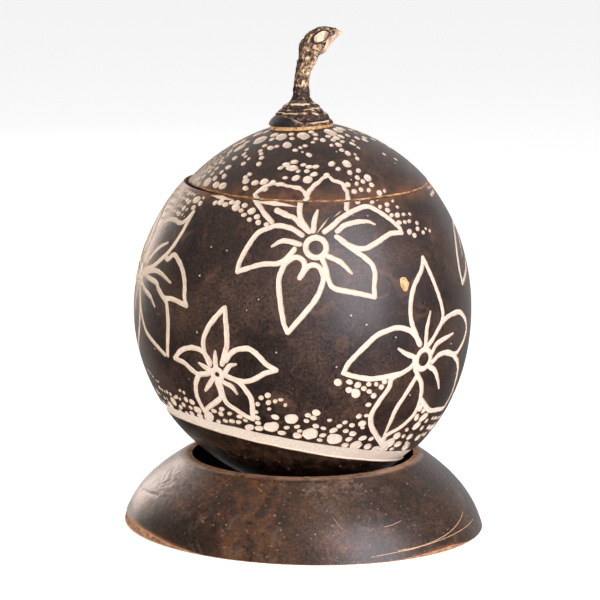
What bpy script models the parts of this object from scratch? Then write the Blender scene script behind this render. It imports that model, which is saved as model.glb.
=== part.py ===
"""A jar made from a dried bottle gourd: a hollow bowl, a lid cut from the same gourd with its
woody stem, and a ring stand cut from the shoulder of a second gourd.

Metres, +Z up. The origin is on the surface that the ring stands on, under the middle of the ring.
The front is towards -Y. Angles around run counter-clockwise from +X, seen from above.
"""

import math

import bmesh
import bpy
from mathutils import Vector

MM = 0.001
TURN = 2 * math.pi
FRONT = math.radians(-90)

# The gourd: a squat globe whose radius changes with the angle down from its crown, drawn up to the stem
GOURD_CENTRE_Z = 88.35 * MM
GOURD_RADIUS = 67.8 * MM
GOURD_SAG = 3.35 * MM
GOURD_SQUAT = 2.72 * MM
CROWN_RISE = 1.75 * MM
CROWN_NARROWS = 16
GOURD_WALL = 4.2 * MM

# It grew lopsided: its crown and its base lie to the right of its waist, and its sides are a little lobed
LEAN_WAIST = 0.14 * MM
LEAN_ENDS = 3.3 * MM
LEAN_BASE = 1.5 * MM
LOBES = ((2, 0.3 * MM, math.radians(40)), (3, 0.2 * MM, math.radians(110)))

# The saw cut between bowl and lid: nearly level, lowest at the front right, sloping down to the inside
CUT_Z = 133.5 * MM
CUT_DIP = 0.7 * MM
CUT_WAVE = 0.4 * MM
CUT_DIP_AT = FRONT + math.radians(20)
CUT_SLOPE = 0.27
FIT_GAP = 0.3 * MM

# The lid shrank a little more than the bowl, and sits a little to the right
LID_SHRINK = 0.5 * MM
LID_SHIFT = Vector((1.0 * MM, 0.0, 0.0))
LID_WALL = 3.6 * MM

# The ring stand
STAND_HEIGHT = 28.0 * MM
STAND_FOOT_RADIUS = 70.1 * MM
STAND_FOOT_OVAL = 3.3 * MM
STAND_OVAL_AT = FRONT + math.radians(42)
STAND_FOOT_WALL = 3.6 * MM
STAND_LIP_WALL = 3.5 * MM
STAND_BULGE = 3.6 * MM
STAND_BULGE_LOW = 0.24
STAND_LIP_OPENS = 3.6 * MM
STAND_TOUCHES_AT = math.radians(41)

# The stem: its flared foot as (height, radius) from the lid up to the neck
STEM_CENTRE_X = -0.4 * MM
STEM_FOOT = (
    (156.8, 12.4),
    (157.8, 11.6),
    (158.4, 10.2),
    (159.6, 9.7),
    (161.0, 8.7),
    (162.0, 7.1),
    (163.6, 6.4),
    (165.0, 4.6),
    (166.8, 3.4),
)
STEM_UNDERSIDE_RINGS = (12.2, 9.0, 5.0)

# Its neck and club-like end as (x, z, half width across, half width deep) along the bent middle line
STEM_NECK = (
    (-0.4, 166.8, 3.4, 3.4),
    (-0.2, 172.4, 3.0, 3.1),
    (0.7, 177.0, 3.2, 3.4),
    (2.0, 180.6, 3.7, 3.9),
    (4.0, 184.2, 4.7, 4.6),
    (6.3, 187.8, 5.2, 4.7),
    (8.8, 190.2, 3.8, 3.9),
    (11.4, 191.0, 2.1, 2.6),
    (13.4, 191.4, 1.0, 1.4),
    (15.3, 191.7, 0.35, 0.6),
)
STEM_NECK_NARROWEST = 3.0
STEM_TIP = Vector((0.2 * MM, 0.0, 0.0))
STEM_RINGS_PER_SPAN = 2
STEM_FURROWS = 7
STEM_FURROW_DEPTH = 0.22 * MM

# How finely the surfaces are divided
AROUND = 60
STEM_AROUND = 22
BOWL_OUTER_ROWS = 21
BOWL_INNER_ROWS = 13
LID_OUTER_ROWS = 10
LID_INNER_ROWS = 7
STAND_ROWS = 6
HALVINGS = 40


def mix(a, b, t):
    return a + (b - a) * t


def clear_scene():
    for thing in list(bpy.data.objects):
        bpy.data.objects.remove(thing, do_unlink=True)


def material(name, colour, roughness):
    """A Principled material with one base colour, given as linear red, green and blue."""
    made = bpy.data.materials.new(name)
    made.use_nodes = True
    shader = made.node_tree.nodes["Principled BSDF"]
    shader.inputs["Base Color"].default_value = (*colour, 1.0)
    shader.inputs["Roughness"].default_value = roughness
    shader.inputs["Metallic"].default_value = 0.0
    return made


def skinned(name, loops, finish, start_point=None, end_point=None, crease=math.radians(38)):
    """One closed mesh through loops of equal length, closed by a point at each end or, with none, a ring."""
    bm = bmesh.new()
    rows = [[bm.verts.new(point) for point in loop] for loop in loops]
    size = len(rows[0])
    closed_ring = start_point is None
    pairs = list(zip(rows, rows[1:]))
    if closed_ring:
        pairs.append((rows[-1], rows[0]))
    for lower, upper in pairs:
        for i in range(size):
            j = (i + 1) % size
            bm.faces.new((lower[i], lower[j], upper[j], upper[i]))
    if not closed_ring:
        for row, point in ((rows[0], start_point), (rows[-1], end_point)):
            tip = bm.verts.new(point)
            for i in range(size):
                bm.faces.new((row[i], row[(i + 1) % size], tip))
    bmesh.ops.recalc_face_normals(bm, faces=bm.faces[:])
    bmesh.ops.triangulate(bm, faces=bm.faces[:])
    mesh = bpy.data.meshes.new(name)
    bm.to_mesh(mesh)
    bm.free()
    mesh.materials.append(finish)
    mesh.shade_smooth()
    mesh.set_sharp_from_angle(angle=crease)
    piece = bpy.data.objects.new(name, mesh)
    bpy.context.scene.collection.objects.link(piece)
    return piece


def angles(count):
    return [TURN * i / count for i in range(count)]


def gourd_reach(polar, around):
    """Distance from the gourd's centre to its skin, at an angle down from the crown and an angle around."""
    up = math.cos(polar)
    out = math.sin(polar)
    reach = GOURD_RADIUS - GOURD_SAG * up + GOURD_SQUAT * math.cos(2 * polar)
    reach += CROWN_RISE * max(0.0, up) ** CROWN_NARROWS
    reach += out * math.cos(around) * (LEAN_WAIST + up**2 * (LEAN_ENDS - LEAN_BASE * up))
    for count, height, turned in LOBES:
        reach += height * out**2 * math.cos(count * around - turned)
    return reach


def gourd_point(polar, around, inset=0.0):
    reach = gourd_reach(polar, around) - inset
    out = reach * math.sin(polar)
    return Vector((out * math.cos(around), out * math.sin(around), GOURD_CENTRE_Z + reach * math.cos(polar)))


def halved(low, high, is_past):
    """The value between low and high where is_past turns from false to true."""
    for _ in range(HALVINGS):
        middle = (low + high) / 2
        if is_past(middle):
            high = middle
        else:
            low = middle
    return (low + high) / 2


def radius_of(point):
    return math.hypot(point.x, point.y)


def polar_at_height(height, around):
    """The angle down from the crown at which the skin passes this height."""
    return halved(0.0, math.pi, lambda polar: gourd_point(polar, around).z < height)


def cut_edge(around):
    """Height of the saw cut where it meets the bowl's skin."""
    turned = around - CUT_DIP_AT
    return CUT_Z - CUT_DIP * math.cos(turned) - CUT_WAVE * math.cos(2 * turned)


def cut_height(point):
    """Height of the sloping saw cut above or below a point."""
    around = math.atan2(point.y, point.x)
    edge = gourd_point(polar_at_height(cut_edge(around), around), around)
    return edge.z + CUT_SLOPE * (radius_of(point) - radius_of(edge))


class Skin:
    """One surface of a shell: the gourd's own form set in by inset, moved by shift, ending at the saw cut."""

    def __init__(self, rows, inset, shift=Vector(), gap=0.0):
        self.rows = rows
        self.inset = inset
        self.shift = shift
        self.gap = gap

    def point(self, polar, around):
        return gourd_point(polar, around, self.inset) + self.shift

    def polar_at_cut(self, around):
        def is_below(polar):
            point = self.point(polar, around)
            return point.z < cut_height(point) + self.gap

        return halved(math.radians(20), math.radians(80), is_below)

    def loops(self, pole):
        """Loops from beside the pole to the cut."""
        edge = [(self.polar_at_cut(around), around) for around in angles(AROUND)]
        found = []
        for row in range(1, self.rows + 1):
            share = row / self.rows
            found.append([self.point(mix(pole, polar, share), around) for polar, around in edge])
        return found


def shell(name, pole, outer, inner, finish):
    """A hollow cap of gourd from its pole to the saw cut."""
    loops = outer.loops(pole) + inner.loops(pole)[::-1]
    return skinned(name, loops, finish, outer.point(pole, 0.0), inner.point(pole, 0.0))


LID_SKIN = Skin(LID_OUTER_ROWS, LID_SHRINK, LID_SHIFT, FIT_GAP)


def make_bowl(finish):
    return shell("gourd_bowl", math.pi, Skin(BOWL_OUTER_ROWS, 0.0), Skin(BOWL_INNER_ROWS, GOURD_WALL), finish)


def make_lid(finish):
    """The cap cut off above the bowl. Its edge has the cut's slope, so that it centres itself."""
    inner = Skin(LID_INNER_ROWS, LID_SHRINK + LID_WALL, LID_SHIFT, FIT_GAP)
    return shell("gourd_lid", 0.0, LID_SKIN, inner, finish)


def lid_top(x, y):
    """Height of the lid's skin at a place near the crown."""
    out = Vector((x, y, 0.0)) - LID_SHIFT
    around = math.atan2(out.y, out.x)

    def is_outside(polar):
        return radius_of(gourd_point(polar, around, LID_SHRINK)) > radius_of(out)

    return LID_SKIN.point(halved(0.0, math.radians(40), is_outside), around).z


def furrow(around, share):
    """The stem's lengthwise ribs, which fade towards its foot and its tip."""
    return STEM_FURROW_DEPTH * share * math.cos(STEM_FURROWS * around)


def smooth_through(stations, per_span):
    """Points on a smooth curve through rows of numbers, with per_span steps between each pair."""
    found = []
    last = len(stations) - 1
    for i in range(last):
        before = stations[max(i - 1, 0)]
        start = stations[i]
        end = stations[i + 1]
        after = stations[min(i + 2, last)]
        for step in range(per_span):
            t = step / per_span
            row = []
            for a, b, c, d in zip(before, start, end, after):
                bend = (2 * a - 5 * b + 4 * c - d) * t**2 + (3 * b - a - 3 * c + d) * t**3
                row.append(0.5 * (2 * b + (c - a) * t + bend))
            found.append(row)
    found.append(list(stations[-1]))
    return found


def make_stem(finish):
    """The woody stalk: an underside that follows the lid, a stepped flare, a neck and a bent club end."""
    ring_angles = angles(STEM_AROUND)
    loops = []
    for radius in STEM_UNDERSIDE_RINGS[::-1]:
        loop = []
        for around in ring_angles:
            x = STEM_CENTRE_X + radius * MM * math.cos(around)
            y = radius * MM * math.sin(around)
            loop.append(Vector((x, y, lid_top(x, y) + FIT_GAP)))
        loops.append(loop)
    for height, radius in STEM_FOOT[:-1]:
        loop = []
        for around in ring_angles:
            reach = radius * MM + furrow(around, 0.5)
            x = STEM_CENTRE_X + reach * math.cos(around)
            loop.append(Vector((x, reach * math.sin(around), height * MM)))
        loops.append(loop)
    rows = smooth_through(STEM_NECK, STEM_RINGS_PER_SPAN)
    middles = [Vector((x * MM, 0.0, z * MM)) for x, z, _, _ in rows]
    for i, (middle, (_, _, half_wide, half_deep)) in enumerate(zip(middles, rows)):
        along = middles[min(i + 1, len(rows) - 1)] - middles[max(i - 1, 0)]
        if i == 0:
            along = Vector((0.0, 0.0, 1.0))
        along.normalize()
        across = Vector((along.z, 0.0, -along.x))
        fade = min(1.0, half_wide / STEM_NECK_NARROWEST)
        loop = []
        for around in ring_angles:
            rib = furrow(around, fade)
            side = across * ((half_wide * MM + rib) * math.cos(around))
            depth = Vector((0.0, (half_deep * MM + rib) * math.sin(around), 0.0))
            loop.append(middle + side + depth)
        loops.append(loop)
    seat = Vector((STEM_CENTRE_X, 0.0, lid_top(STEM_CENTRE_X, 0.0) + FIT_GAP))
    return skinned("gourd_stem", loops, finish, seat, middles[-1] + STEM_TIP)


def stand_foot_radius(around):
    return STAND_FOOT_RADIUS + STAND_FOOT_OVAL * math.cos(2 * (around - STAND_OVAL_AT))


def stand_lip_radius(around):
    """The lip's inner edge: the gourd leans on it at the back right, and it stands away at the front left."""
    gourd = gourd_point(polar_at_height(STAND_HEIGHT, around), around)
    return radius_of(gourd) + FIT_GAP + STAND_LIP_OPENS * (1 - math.cos(around - STAND_TOUCHES_AT))


def stand_curve(foot, lip):
    """(radius, height) from the foot up to the lip, on a chord that swells outwards, most of all low down."""
    chord = math.hypot(foot - lip, STAND_HEIGHT)
    out_share = STAND_HEIGHT / chord
    up_share = (foot - lip) / chord
    found = []
    for row in range(STAND_ROWS + 1):
        t = row / STAND_ROWS
        swell = STAND_BULGE * 4 * t * (1 - t) * (1 + STAND_BULGE_LOW * (1 - 2 * t))
        found.append((mix(foot, lip, t) + swell * out_share, STAND_HEIGHT * t + swell * up_share))
    return found


def make_stand(finish):
    """A flared collar of gourd shell, open above and below, with a flat foot and a flat lip."""
    columns = []
    for around in angles(AROUND):
        foot = stand_foot_radius(around)
        lip = stand_lip_radius(around)
        outer = stand_curve(foot, lip + STAND_LIP_WALL)
        inner = stand_curve(foot - STAND_FOOT_WALL, lip)
        column = outer + inner[::-1]
        columns.append([Vector((r * math.cos(around), r * math.sin(around), z)) for r, z in column])
    loops = [list(row) for row in zip(*columns)]
    return skinned("ring_stand", loops, finish)


def build():
    clear_scene()
    make_stand(material("stand_brown_skin", (0.16, 0.075, 0.045), 0.38))
    make_bowl(material("bowl_dark_skin", (0.085, 0.055, 0.045), 0.36))
    make_lid(material("lid_dark_skin", (0.10, 0.065, 0.05), 0.38))
    make_stem(material("stem_bark", (0.30, 0.19, 0.12), 0.75))


build()
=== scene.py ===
"""Looks of a jar made from a dried bottle gourd: a carved bowl and lid, the stem, and a ring stand.

Sizes are in millimetres until a mesh is made. A place on the gourd is (degrees to the right of the
front, degrees down from the crown), both as seen from the gourd's middle.
"""

import math
import random

import bmesh
import bpy
import numpy as np
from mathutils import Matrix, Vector, geometry, kdtree, noise


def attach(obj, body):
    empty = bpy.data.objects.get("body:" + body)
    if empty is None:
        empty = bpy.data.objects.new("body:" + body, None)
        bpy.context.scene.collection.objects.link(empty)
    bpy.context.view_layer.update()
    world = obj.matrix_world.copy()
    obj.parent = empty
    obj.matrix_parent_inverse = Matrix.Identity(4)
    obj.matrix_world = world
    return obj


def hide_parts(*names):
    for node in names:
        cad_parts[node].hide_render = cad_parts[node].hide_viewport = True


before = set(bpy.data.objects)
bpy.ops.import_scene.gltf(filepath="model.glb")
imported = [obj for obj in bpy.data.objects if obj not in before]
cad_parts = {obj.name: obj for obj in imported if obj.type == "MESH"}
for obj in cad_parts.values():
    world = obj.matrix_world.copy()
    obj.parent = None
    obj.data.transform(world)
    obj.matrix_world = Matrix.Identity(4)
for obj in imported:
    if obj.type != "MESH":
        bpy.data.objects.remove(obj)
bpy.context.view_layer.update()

# The gourd as it grew
# One squat, slightly lopsided gourd, dried until its shell turned hard as wood, then sawn in two below
# the crown. Bowl and lid share this form, and everything cut into them is placed on it.
MM = 0.001
GOURD_MIDDLE = 88.35
GOURD_RADIUS = 67.8
GOURD_SAG = 3.35
GOURD_SQUAT = 2.72
CROWN_RISE = 1.75
CROWN_NARROWS = 16
LEAN_WAIST = 0.14
LEAN_ENDS = 3.3
LEAN_BASE = 1.5
LOBES = ((2, 0.3, math.radians(40)), (3, 0.2, math.radians(110)))
BALL = 65.0  # the gourd's mean radius, which turns a distance along the skin into an angle

SAW_HEIGHT = 133.5
SAW_DIP = 0.7
SAW_WAVE = 0.4
SAW_DIP_AT = math.radians(-70)
SAW_SLOPE = 0.27
FIT_GAP = 0.3


def unit(turn, drop):
    """Unit vectors from the gourd's middle towards places on it."""
    around, down = np.broadcast_arrays(np.radians(np.asarray(turn, float) - 90), np.radians(drop))
    return np.stack([np.sin(down) * np.cos(around), np.sin(down) * np.sin(around), np.cos(down)], -1)


def reach(way):
    """How far the skin is from the gourd's middle along unit vectors."""
    up = way[..., 2]
    around = np.arctan2(way[..., 1], way[..., 0])
    out = np.hypot(way[..., 0], way[..., 1])
    found = GOURD_RADIUS - GOURD_SAG * up + GOURD_SQUAT * (2 * up**2 - 1)
    found = found + CROWN_RISE * np.maximum(up, 0) ** CROWN_NARROWS
    found = found + way[..., 0] * (LEAN_WAIST + up**2 * (LEAN_ENDS - LEAN_BASE * up))
    for count, height, turned in LOBES:
        found = found + height * out**2 * np.cos(count * around - turned)
    return found


def crossing(low, high, is_past):
    """The drop at each place around where is_past turns true, found by halving."""
    low, high = low.copy(), high.copy()
    for _ in range(36):
        middle = (low + high) / 2
        past = is_past(middle)
        high = np.where(past, middle, high)
        low = np.where(past, low, middle)
    return (low + high) / 2


class Half:
    """One half of the sawn gourd: the gourd's form, set in and moved sideways where it shrank and slid."""

    def __init__(self, pole, wall, set_in=0.0, slid=0.0, gap=0.0, lifts=()):
        self.pole = pole
        self.wall = wall
        self.set_in = set_in
        self.slid = np.array([slid, 0.0, 0.0])
        self.gap = gap
        self.lifts = lifts

    def points(self, way, depth=0.0):
        out = reach(way) - self.set_in - depth
        return way * out[..., None] + self.slid + np.array([0.0, 0.0, GOURD_MIDDLE])

    def sawn_at(self, turn, depth, above=0.0):
        """Ways to where the surface at a depth meets the saw cut, or passes a little above it."""
        gap = self.gap + sum(high * np.exp(-(((turn - at) / wide) ** 2)) for at, wide, high in self.lifts)

        def is_below(drop):
            point = self.points(unit(turn, drop), depth)
            return point[..., 2] < saw_height(point) + gap + above

        span = np.ones_like(turn)
        return unit(turn, crossing(20 * span, 80 * span, is_below))


def saw_height(point):
    """Height of the sloping saw cut over any point: it is lowest inside, and dips at the front right."""
    around = np.arctan2(point[..., 1], point[..., 0])
    edge = SAW_HEIGHT - SAW_DIP * np.cos(around - SAW_DIP_AT) - SAW_WAVE * np.cos(2 * (around - SAW_DIP_AT))
    turn = np.degrees(around) + 90
    span = np.ones_like(turn)

    def is_below(drop):
        way = unit(turn, drop)
        return way[..., 2] * reach(way) + GOURD_MIDDLE < edge

    rim = unit(turn, crossing(20 * span, 80 * span, is_below))
    rim_radius = reach(rim) * np.hypot(rim[..., 0], rim[..., 1])
    return edge + SAW_SLOPE * (np.hypot(point[..., 0], point[..., 1]) - rim_radius)


BOWL = Half(pole=-1, wall=4.2)
# Where the lid's rim doesn't meet the bowl's: (turn, degrees to each side, how far it is lifted)
LIFTS = ((-62.0, 24.0, 0.45), (40.0, 12.0, 0.25))
LID = Half(pole=1, wall=3.6, set_in=0.5, slid=1.0, gap=FIT_GAP, lifts=LIFTS)

# Gouge work
# The flowers, dots and band are cut through the dark stained skin into the pale flesh of the shell with a
# small gouge and a punch. Each cut is an outline at the skin and a slightly smaller outline at its floor.
SKIN, FLESH, RIND, INSIDE, CHIP = range(5)
CUT_DEPTH = 0.6
CUT_WALL = 0.3
STROKE_WIDE = 2.1
STROKE_STEP = 0.8
ON_LID = 0.7  # unit vectors that rise past this point to the lid, where the gouge was less sure


def near(place, bearing, distance):
    """Ways at bearings (degrees clockwise from the crown's direction) and distances along the skin."""
    middle = unit(*place)
    rightwards = unit(place[0] + 90, 90.0)
    crownwards = np.cross(middle, rightwards)
    angle = np.asarray(distance, float)[..., None] / BALL
    heading = np.radians(np.asarray(bearing, float))[..., None]
    return np.cos(angle) * middle + np.sin(angle) * (np.cos(heading) * crownwards + np.sin(heading) * rightwards)


def normalised(rows):
    return rows / np.linalg.norm(rows, axis=-1, keepdims=True)


def smooth(stations, step):
    """Points about step apart on a smooth curve through the stations."""
    first, last = 2 * stations[0] - stations[1], 2 * stations[-1] - stations[-2]
    padded = np.vstack([first, stations, last])
    found = []
    for a, b, c, d in zip(padded, padded[1:], padded[2:], padded[3:]):
        count = max(2, round(np.linalg.norm(c - b) / step))
        t = np.arange(count)[:, None] / count
        bend = (2 * a - 5 * b + 4 * c - d) * t**2 + (3 * b - a - 3 * c + d) * t**3
        found.append(0.5 * (2 * b + (c - a) * t + bend))
    return np.vstack(found + [stations[-1:]])


def ragged(points, size, seed):
    """A number between -1 and 1 at each point, which changes over about size millimetres."""
    offset = Vector((seed * 7.3, seed * 3.1, seed * 5.7))
    return np.array([noise.noise(Vector(point) / size + offset) for point in points])


class Cut:
    """One shape cut into the skin. A ring or a band has a hole, where the skin stays."""

    def __init__(self, outline, floors, hole=None, finish=FLESH, depth=CUT_DEPTH):
        self.outline = outline
        self.floors = floors
        self.hole = hole
        self.finish = finish
        self.depth = depth


def stroke(path, seed, wide=STROKE_WIDE, start=1.0, end=1.0, fade=0.35, **cut):
    """One pass of the gouge. start and end are its widths at its two ends, as shares of its full width."""
    line = smooth(BALL * path, STROKE_STEP)
    way = normalised(line)
    ahead = normalised(np.gradient(line, axis=0))
    side = normalised(np.cross(way, ahead))
    along = np.linspace(0, 1, len(line))
    share = np.minimum(start + (1 - start) * along / fade, end + (1 - end) * (1 - along) / fade)
    half = wide / 2 * np.clip(share, 0, 1)

    wobble = np.where(way[:, 2] > ON_LID, 0.6, 0.2)
    half = half * np.where(way[:, 2] > ON_LID, 0.88, 1.0)

    def outline(inwards):
        left = half * (1 + wobble * ragged(line, 1.9, seed)) - inwards
        right = half * (1 + wobble * ragged(line, 1.9, seed + 0.5)) - inwards
        lap = [line + side * left[:, None]]
        for turned in (0.8, 1.57, 2.34):
            lap.append(line[-1:] + math.cos(turned) * side[-1:] * left[-1] + math.sin(turned) * ahead[-1:] * left[-1])
        lap.append((line - side * right[:, None])[::-1])
        for turned in (0.8, 1.57, 2.34):
            lap.append(line[:1] - math.cos(turned) * side[:1] * right[0] - math.sin(turned) * ahead[:1] * right[0])
        return normalised(np.vstack(lap))

    return Cut(outline(0.0), [outline(np.minimum(CUT_WALL, 0.6 * half))], **cut)


def loop_around(place, radius, count, seed, rough=0.03):
    """A closed, slightly uneven loop of ways around a place."""
    bearing = np.linspace(0, 360, count, endpoint=False)
    plain = near(place, bearing, np.full(count, radius))
    return near(place, bearing, radius * (1 + rough * ragged(BALL * plain, 2.5, seed)))


def flower_eye(place, radius, hole, seed):
    """The ring that the petals start from."""
    count = round(2 * math.pi * radius / 0.9)
    edge = loop_around(place, radius, count, seed)
    inner = loop_around(place, hole, max(9, round(2 * math.pi * hole / 0.9)), seed)
    floors = [loop_around(place, radius - CUT_WALL, count, seed)]
    floors.append(loop_around(place, hole + CUT_WALL, len(inner), seed))
    return Cut(edge, floors, hole=inner)


def pebble(place, heading, long, wide, seed, **cut):
    """One dot, cut with a twist of the gouge: a lopsided oval."""
    count = max(9, round(math.pi * (long + wide) / 2 / 0.85))
    bearing = np.linspace(0, 360, count, endpoint=False)
    turned = np.radians(bearing - heading)
    edge = 0.5 / np.sqrt((np.cos(turned) / long) ** 2 + (np.sin(turned) / wide) ** 2)
    edge = edge * (1 + 0.16 * ragged(BALL * near(place, bearing, edge), 1.6, seed))
    inwards = np.minimum(CUT_WALL, 0.45 * edge)
    return Cut(near(place, bearing, edge), [near(place, bearing, edge - inwards)], **cut)


# The flowers
# Folk flowers of five or six pointed petals. Each petal is drawn by its two sides and a vein that tapers
# off, as (bearing, distance) from the flower's eye, and the sides run on into the next petal.
def petal_strokes(place, petal, seed, turned=0.0, grown=1.0):
    """The strokes of one petal. Its sides keep their width to the tip, and its vein thins a little."""
    found = []
    for which, points in enumerate(petal):
        if not points:
            continue
        bearing, distance = np.array(points, float).T
        path = near(place, bearing + turned, distance * grown)
        end, fade = (0.5, 0.45) if which == 2 else (0.9, 0.3)
        found.append(stroke(path, seed + 0.1 * which, end=end, fade=fade))
    return found


# The flower under the front of the seam, whose top petals run on across the lid
HIGH_FLOWER = (
    (
        ((315, 7), (312, 11.5), (305, 16.5), (296, 20), (286, 23.5), (265, 29), (257, 31)),
        ((269, 8), (256, 10), (249, 15), (256, 21.5), (257, 31)),
        ((284, 6), (285, 12.5), (275, 16.5)),
    ),
    (
        ((210, 13), (212, 8.5), (225, 7), (244, 8), (246, 11.5), (238, 15.5), (226, 20), (206, 30), (200, 33.5)),
        ((210, 13), (204, 8), (188, 6.7), (171, 8), (168, 11.5), (174, 15), (182, 19.5), (190, 24), (200, 33.5)),
        (),
    ),
    (
        ((154, 4.7), (157, 9), (161, 13), (158, 16.5), (147, 19.5), (138, 23), (129, 29)),
        ((62, 9), (74, 10.5), (89, 13), (104, 21.5), (113, 24.5), (123, 26.5), (129, 29)),
        ((130, 5), (122, 10.5), (126, 16.5)),
    ),
    (
        ((62, 9), (82, 11.5), (90, 16), (88, 20), (82, 24.5), (76, 30.5), (76, 36)),
        ((29, 7), (38, 11.5), (41, 16.5), (48, 26), (56, 29.5), (71, 35), (76, 36)),
        ((52, 10.5), (52, 15), (60, 22.5), (66, 25.5)),
    ),
    (
        ((340, 6.5), (336, 10.5), (338, 14.5), (344, 18.5), (351, 21), (355, 24), (5, 29), (10, 31.5)),
        ((38, 20), (35, 22), (30, 24.5), (26, 27), (21, 29.5), (14, 29.7), (10, 31.5)),
        ((353, 6.5), (0, 11), (5, 15)),
    ),
    (
        ((305, 19.5), (309, 24), (313, 28.5), (317, 34.5)),
        ((351, 21), (351, 22.5), (347, 26), (341, 28), (333, 32), (327, 34), (317, 34.5)),
        ((337, 7), (330, 10.5), (327, 15), (319, 20)),
    ),
)

# The small one at the front left
SMALL_FLOWER = (
    (
        ((321, 4.5), (330, 9.5), (339, 14), (351, 18), (1, 22), (9, 26)),
        ((31, 5), (26, 9), (23, 13), (17, 17.5), (12, 22), (9, 26)),
        ((355, 3), (357, 5.5), (0, 9)),
    ),
    (
        ((36, 7), (37, 11), (44, 14.5), (53, 17.5), (65, 19), (77, 20.5), (85, 23.5)),
        ((92, 3.5), (102, 8), (100, 11.5), (94, 15), (87, 19), (85, 23.5)),
        ((78, 3.2), (56, 6.5), (61, 9.5)),
    ),
    (
        ((92, 3.5), (106, 9), (119, 12.5), (126, 15), (137, 17.5), (149, 21)),
        ((171, 4), (172, 11), (161, 14.5), (154, 18), (149, 21)),
        ((150, 3), (134, 5), (129, 7), (136, 10)),
    ),
    (
        ((269, 4), (262, 8), (245, 11.5), (229, 15), (215, 18), (206, 20.5)),
        ((188, 3.5), (180, 5.2), (180, 9), (195, 12.5), (207, 17.5), (206, 20.5)),
        ((226, 3), (221, 10)),
    ),
    (
        ((331, 5), (327, 9.5), (316, 12.5), (305, 15), (291, 18), (278, 20.5)),
        ((269, 4), (262, 8.5), (270, 11.5), (278, 15.5), (278, 20.5)),
        ((295, 3), (294, 8.5)),
    ),
)

# The big one low at the front right
LOW_FLOWER = (
    (
        ((337, 6.5), (334, 11), (335, 17), (342, 23), (351, 28.5), (2, 34), (5, 38.5)),
        ((23, 5.5), (35, 11), (38, 16.5), (32, 20.5), (15, 28.5), (9, 33.5), (5, 38.5)),
        ((4, 4.5), (4, 11), (10, 18)),
    ),
    (
        ((334, 6.5), (329, 12.5), (316, 18.5), (303, 22.5), (292, 26), (272, 32), (263, 34.5)),
        ((277, 5), (254, 5.5), (247, 10.5), (252, 16.5), (255, 23), (259, 29), (263, 34.5)),
        ((285, 4.5), (289, 10), (292, 14)),
    ),
    (
        ((247, 10.5), (247, 15.5), (237, 17.5), (229, 23), (222, 28), (213, 30.7), (201, 33), (191, 36)),
        ((235, 5), (203, 6), (175, 10), (172, 16), (176, 22), (186, 27), (195, 31.5), (191, 36)),
        ((202, 6), (206, 14.5), (205, 21), (200, 27), (196, 33)),
    ),
    (
        ((109, 5.5), (89, 9), (90, 15), (99, 22), (108, 28.5), (119, 32.7), (128, 35.7), (137, 35.5)),
        ((172, 16), (155, 24.5), (147, 28.2), (137, 35.5)),
        ((132, 4.5), (128, 10.5), (137, 19)),
    ),
    (
        ((39, 16), (48, 21), (61, 28), (74, 32.5), (82, 33.5)),
        ((90, 14), (96, 22), (90, 28.5), (85, 32), (82, 33.5)),
        ((69, 4.5), (56, 9), (70, 19.5)),
    ),
)

# The big one round the left side
SIDE_FLOWER = (
    (
        ((350, 5), (0, 11), (5, 16), (12, 19.5), (18, 22.7), (28, 26.5), (39, 30), (41, 33), (38, 37.5)),
        ((80, 5), (74, 13), (64, 22), (57, 27), (51, 30.5), (44, 34), (38, 37.5)),
        ((52, 6), (48, 16), (51, 23)),
    ),
    (
        ((64, 22), (69, 24), (66, 27.5), (73, 31.5), (80, 34.5), (87, 36.5), (95, 38), (99, 40)),
        ((99, 5), (97, 10.5), (95, 18.5), (100, 22), (103, 27), (100, 31), (99, 36), (99, 40)),
        ((96, 5), (81, 14.5), (83, 20.5), (89, 28.5)),
    ),
    (
        ((103, 27), (106, 29.5), (115, 33), (122, 35.3), (135, 40)),
        ((155, 5), (152, 14.5), (152, 19.5), (149, 25.5), (141, 33), (137, 38.8)),
        ((140, 6), (122, 12), (116, 18), (118, 23)),
    ),
    (
        ((160, 5), (156, 14), (168, 22), (186, 30), (200, 37)),
        ((232, 5), (238, 14), (232, 22), (218, 30), (200, 37)),
        ((196, 5), (192, 13), (199, 22)),
    ),
    (
        ((238, 5), (241, 13), (246, 22), (262, 31), (272, 38)),
        ((310, 5), (306, 14), (298, 23), (284, 32), (272, 38)),
        ((274, 5), (280, 13), (274, 21)),
    ),
    (
        ((316, 5), (312, 15), (316, 22), (326, 29), (334, 34)),
        ((350, 5), (358, 13), (352, 22), (342, 29), (334, 34)),
        ((332, 5), (338, 12), (333, 19)),
    ),
)

# The one round the right side, of which the front shows one petal
EDGE_FLOWER = (
    (
        ((264, 6), (266, 12), (264, 17.6), (254, 26.8), (245, 32.6), (236, 36)),
        ((214, 6), (218, 14), (227, 24.8), (233, 32), (236, 36)),
        ((246, 6), (247, 13), (245, 18.2), (241, 21.5), (240, 23.7)),
    ),
    (
        ((208, 6), (206, 13), (196, 21), (184, 28), (176, 32)),
        ((150, 6), (150, 14), (160, 22), (170, 28), (176, 32)),
        ((178, 6), (184, 12), (181, 20)),
    ),
    (
        ((142, 6), (141, 14), (132, 24), (120, 32), (112, 36)),
        ((82, 6), (84, 14), (94, 24), (104, 32), (112, 36)),
        ((112, 6), (118, 13), (113, 22)),
    ),
    (
        ((74, 6), (74, 13), (62, 22), (52, 29), (42, 33)),
        ((16, 6), (18, 13), (28, 22), (36, 29), (42, 33)),
        ((45, 6), (51, 12), (45, 20)),
    ),
    (
        ((8, 6), (10, 10), (2, 14), (352, 17)),
        ((320, 6), (324, 10), (338, 14), (352, 17)),
        ((345, 5), (350, 10)),
    ),
)

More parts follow.
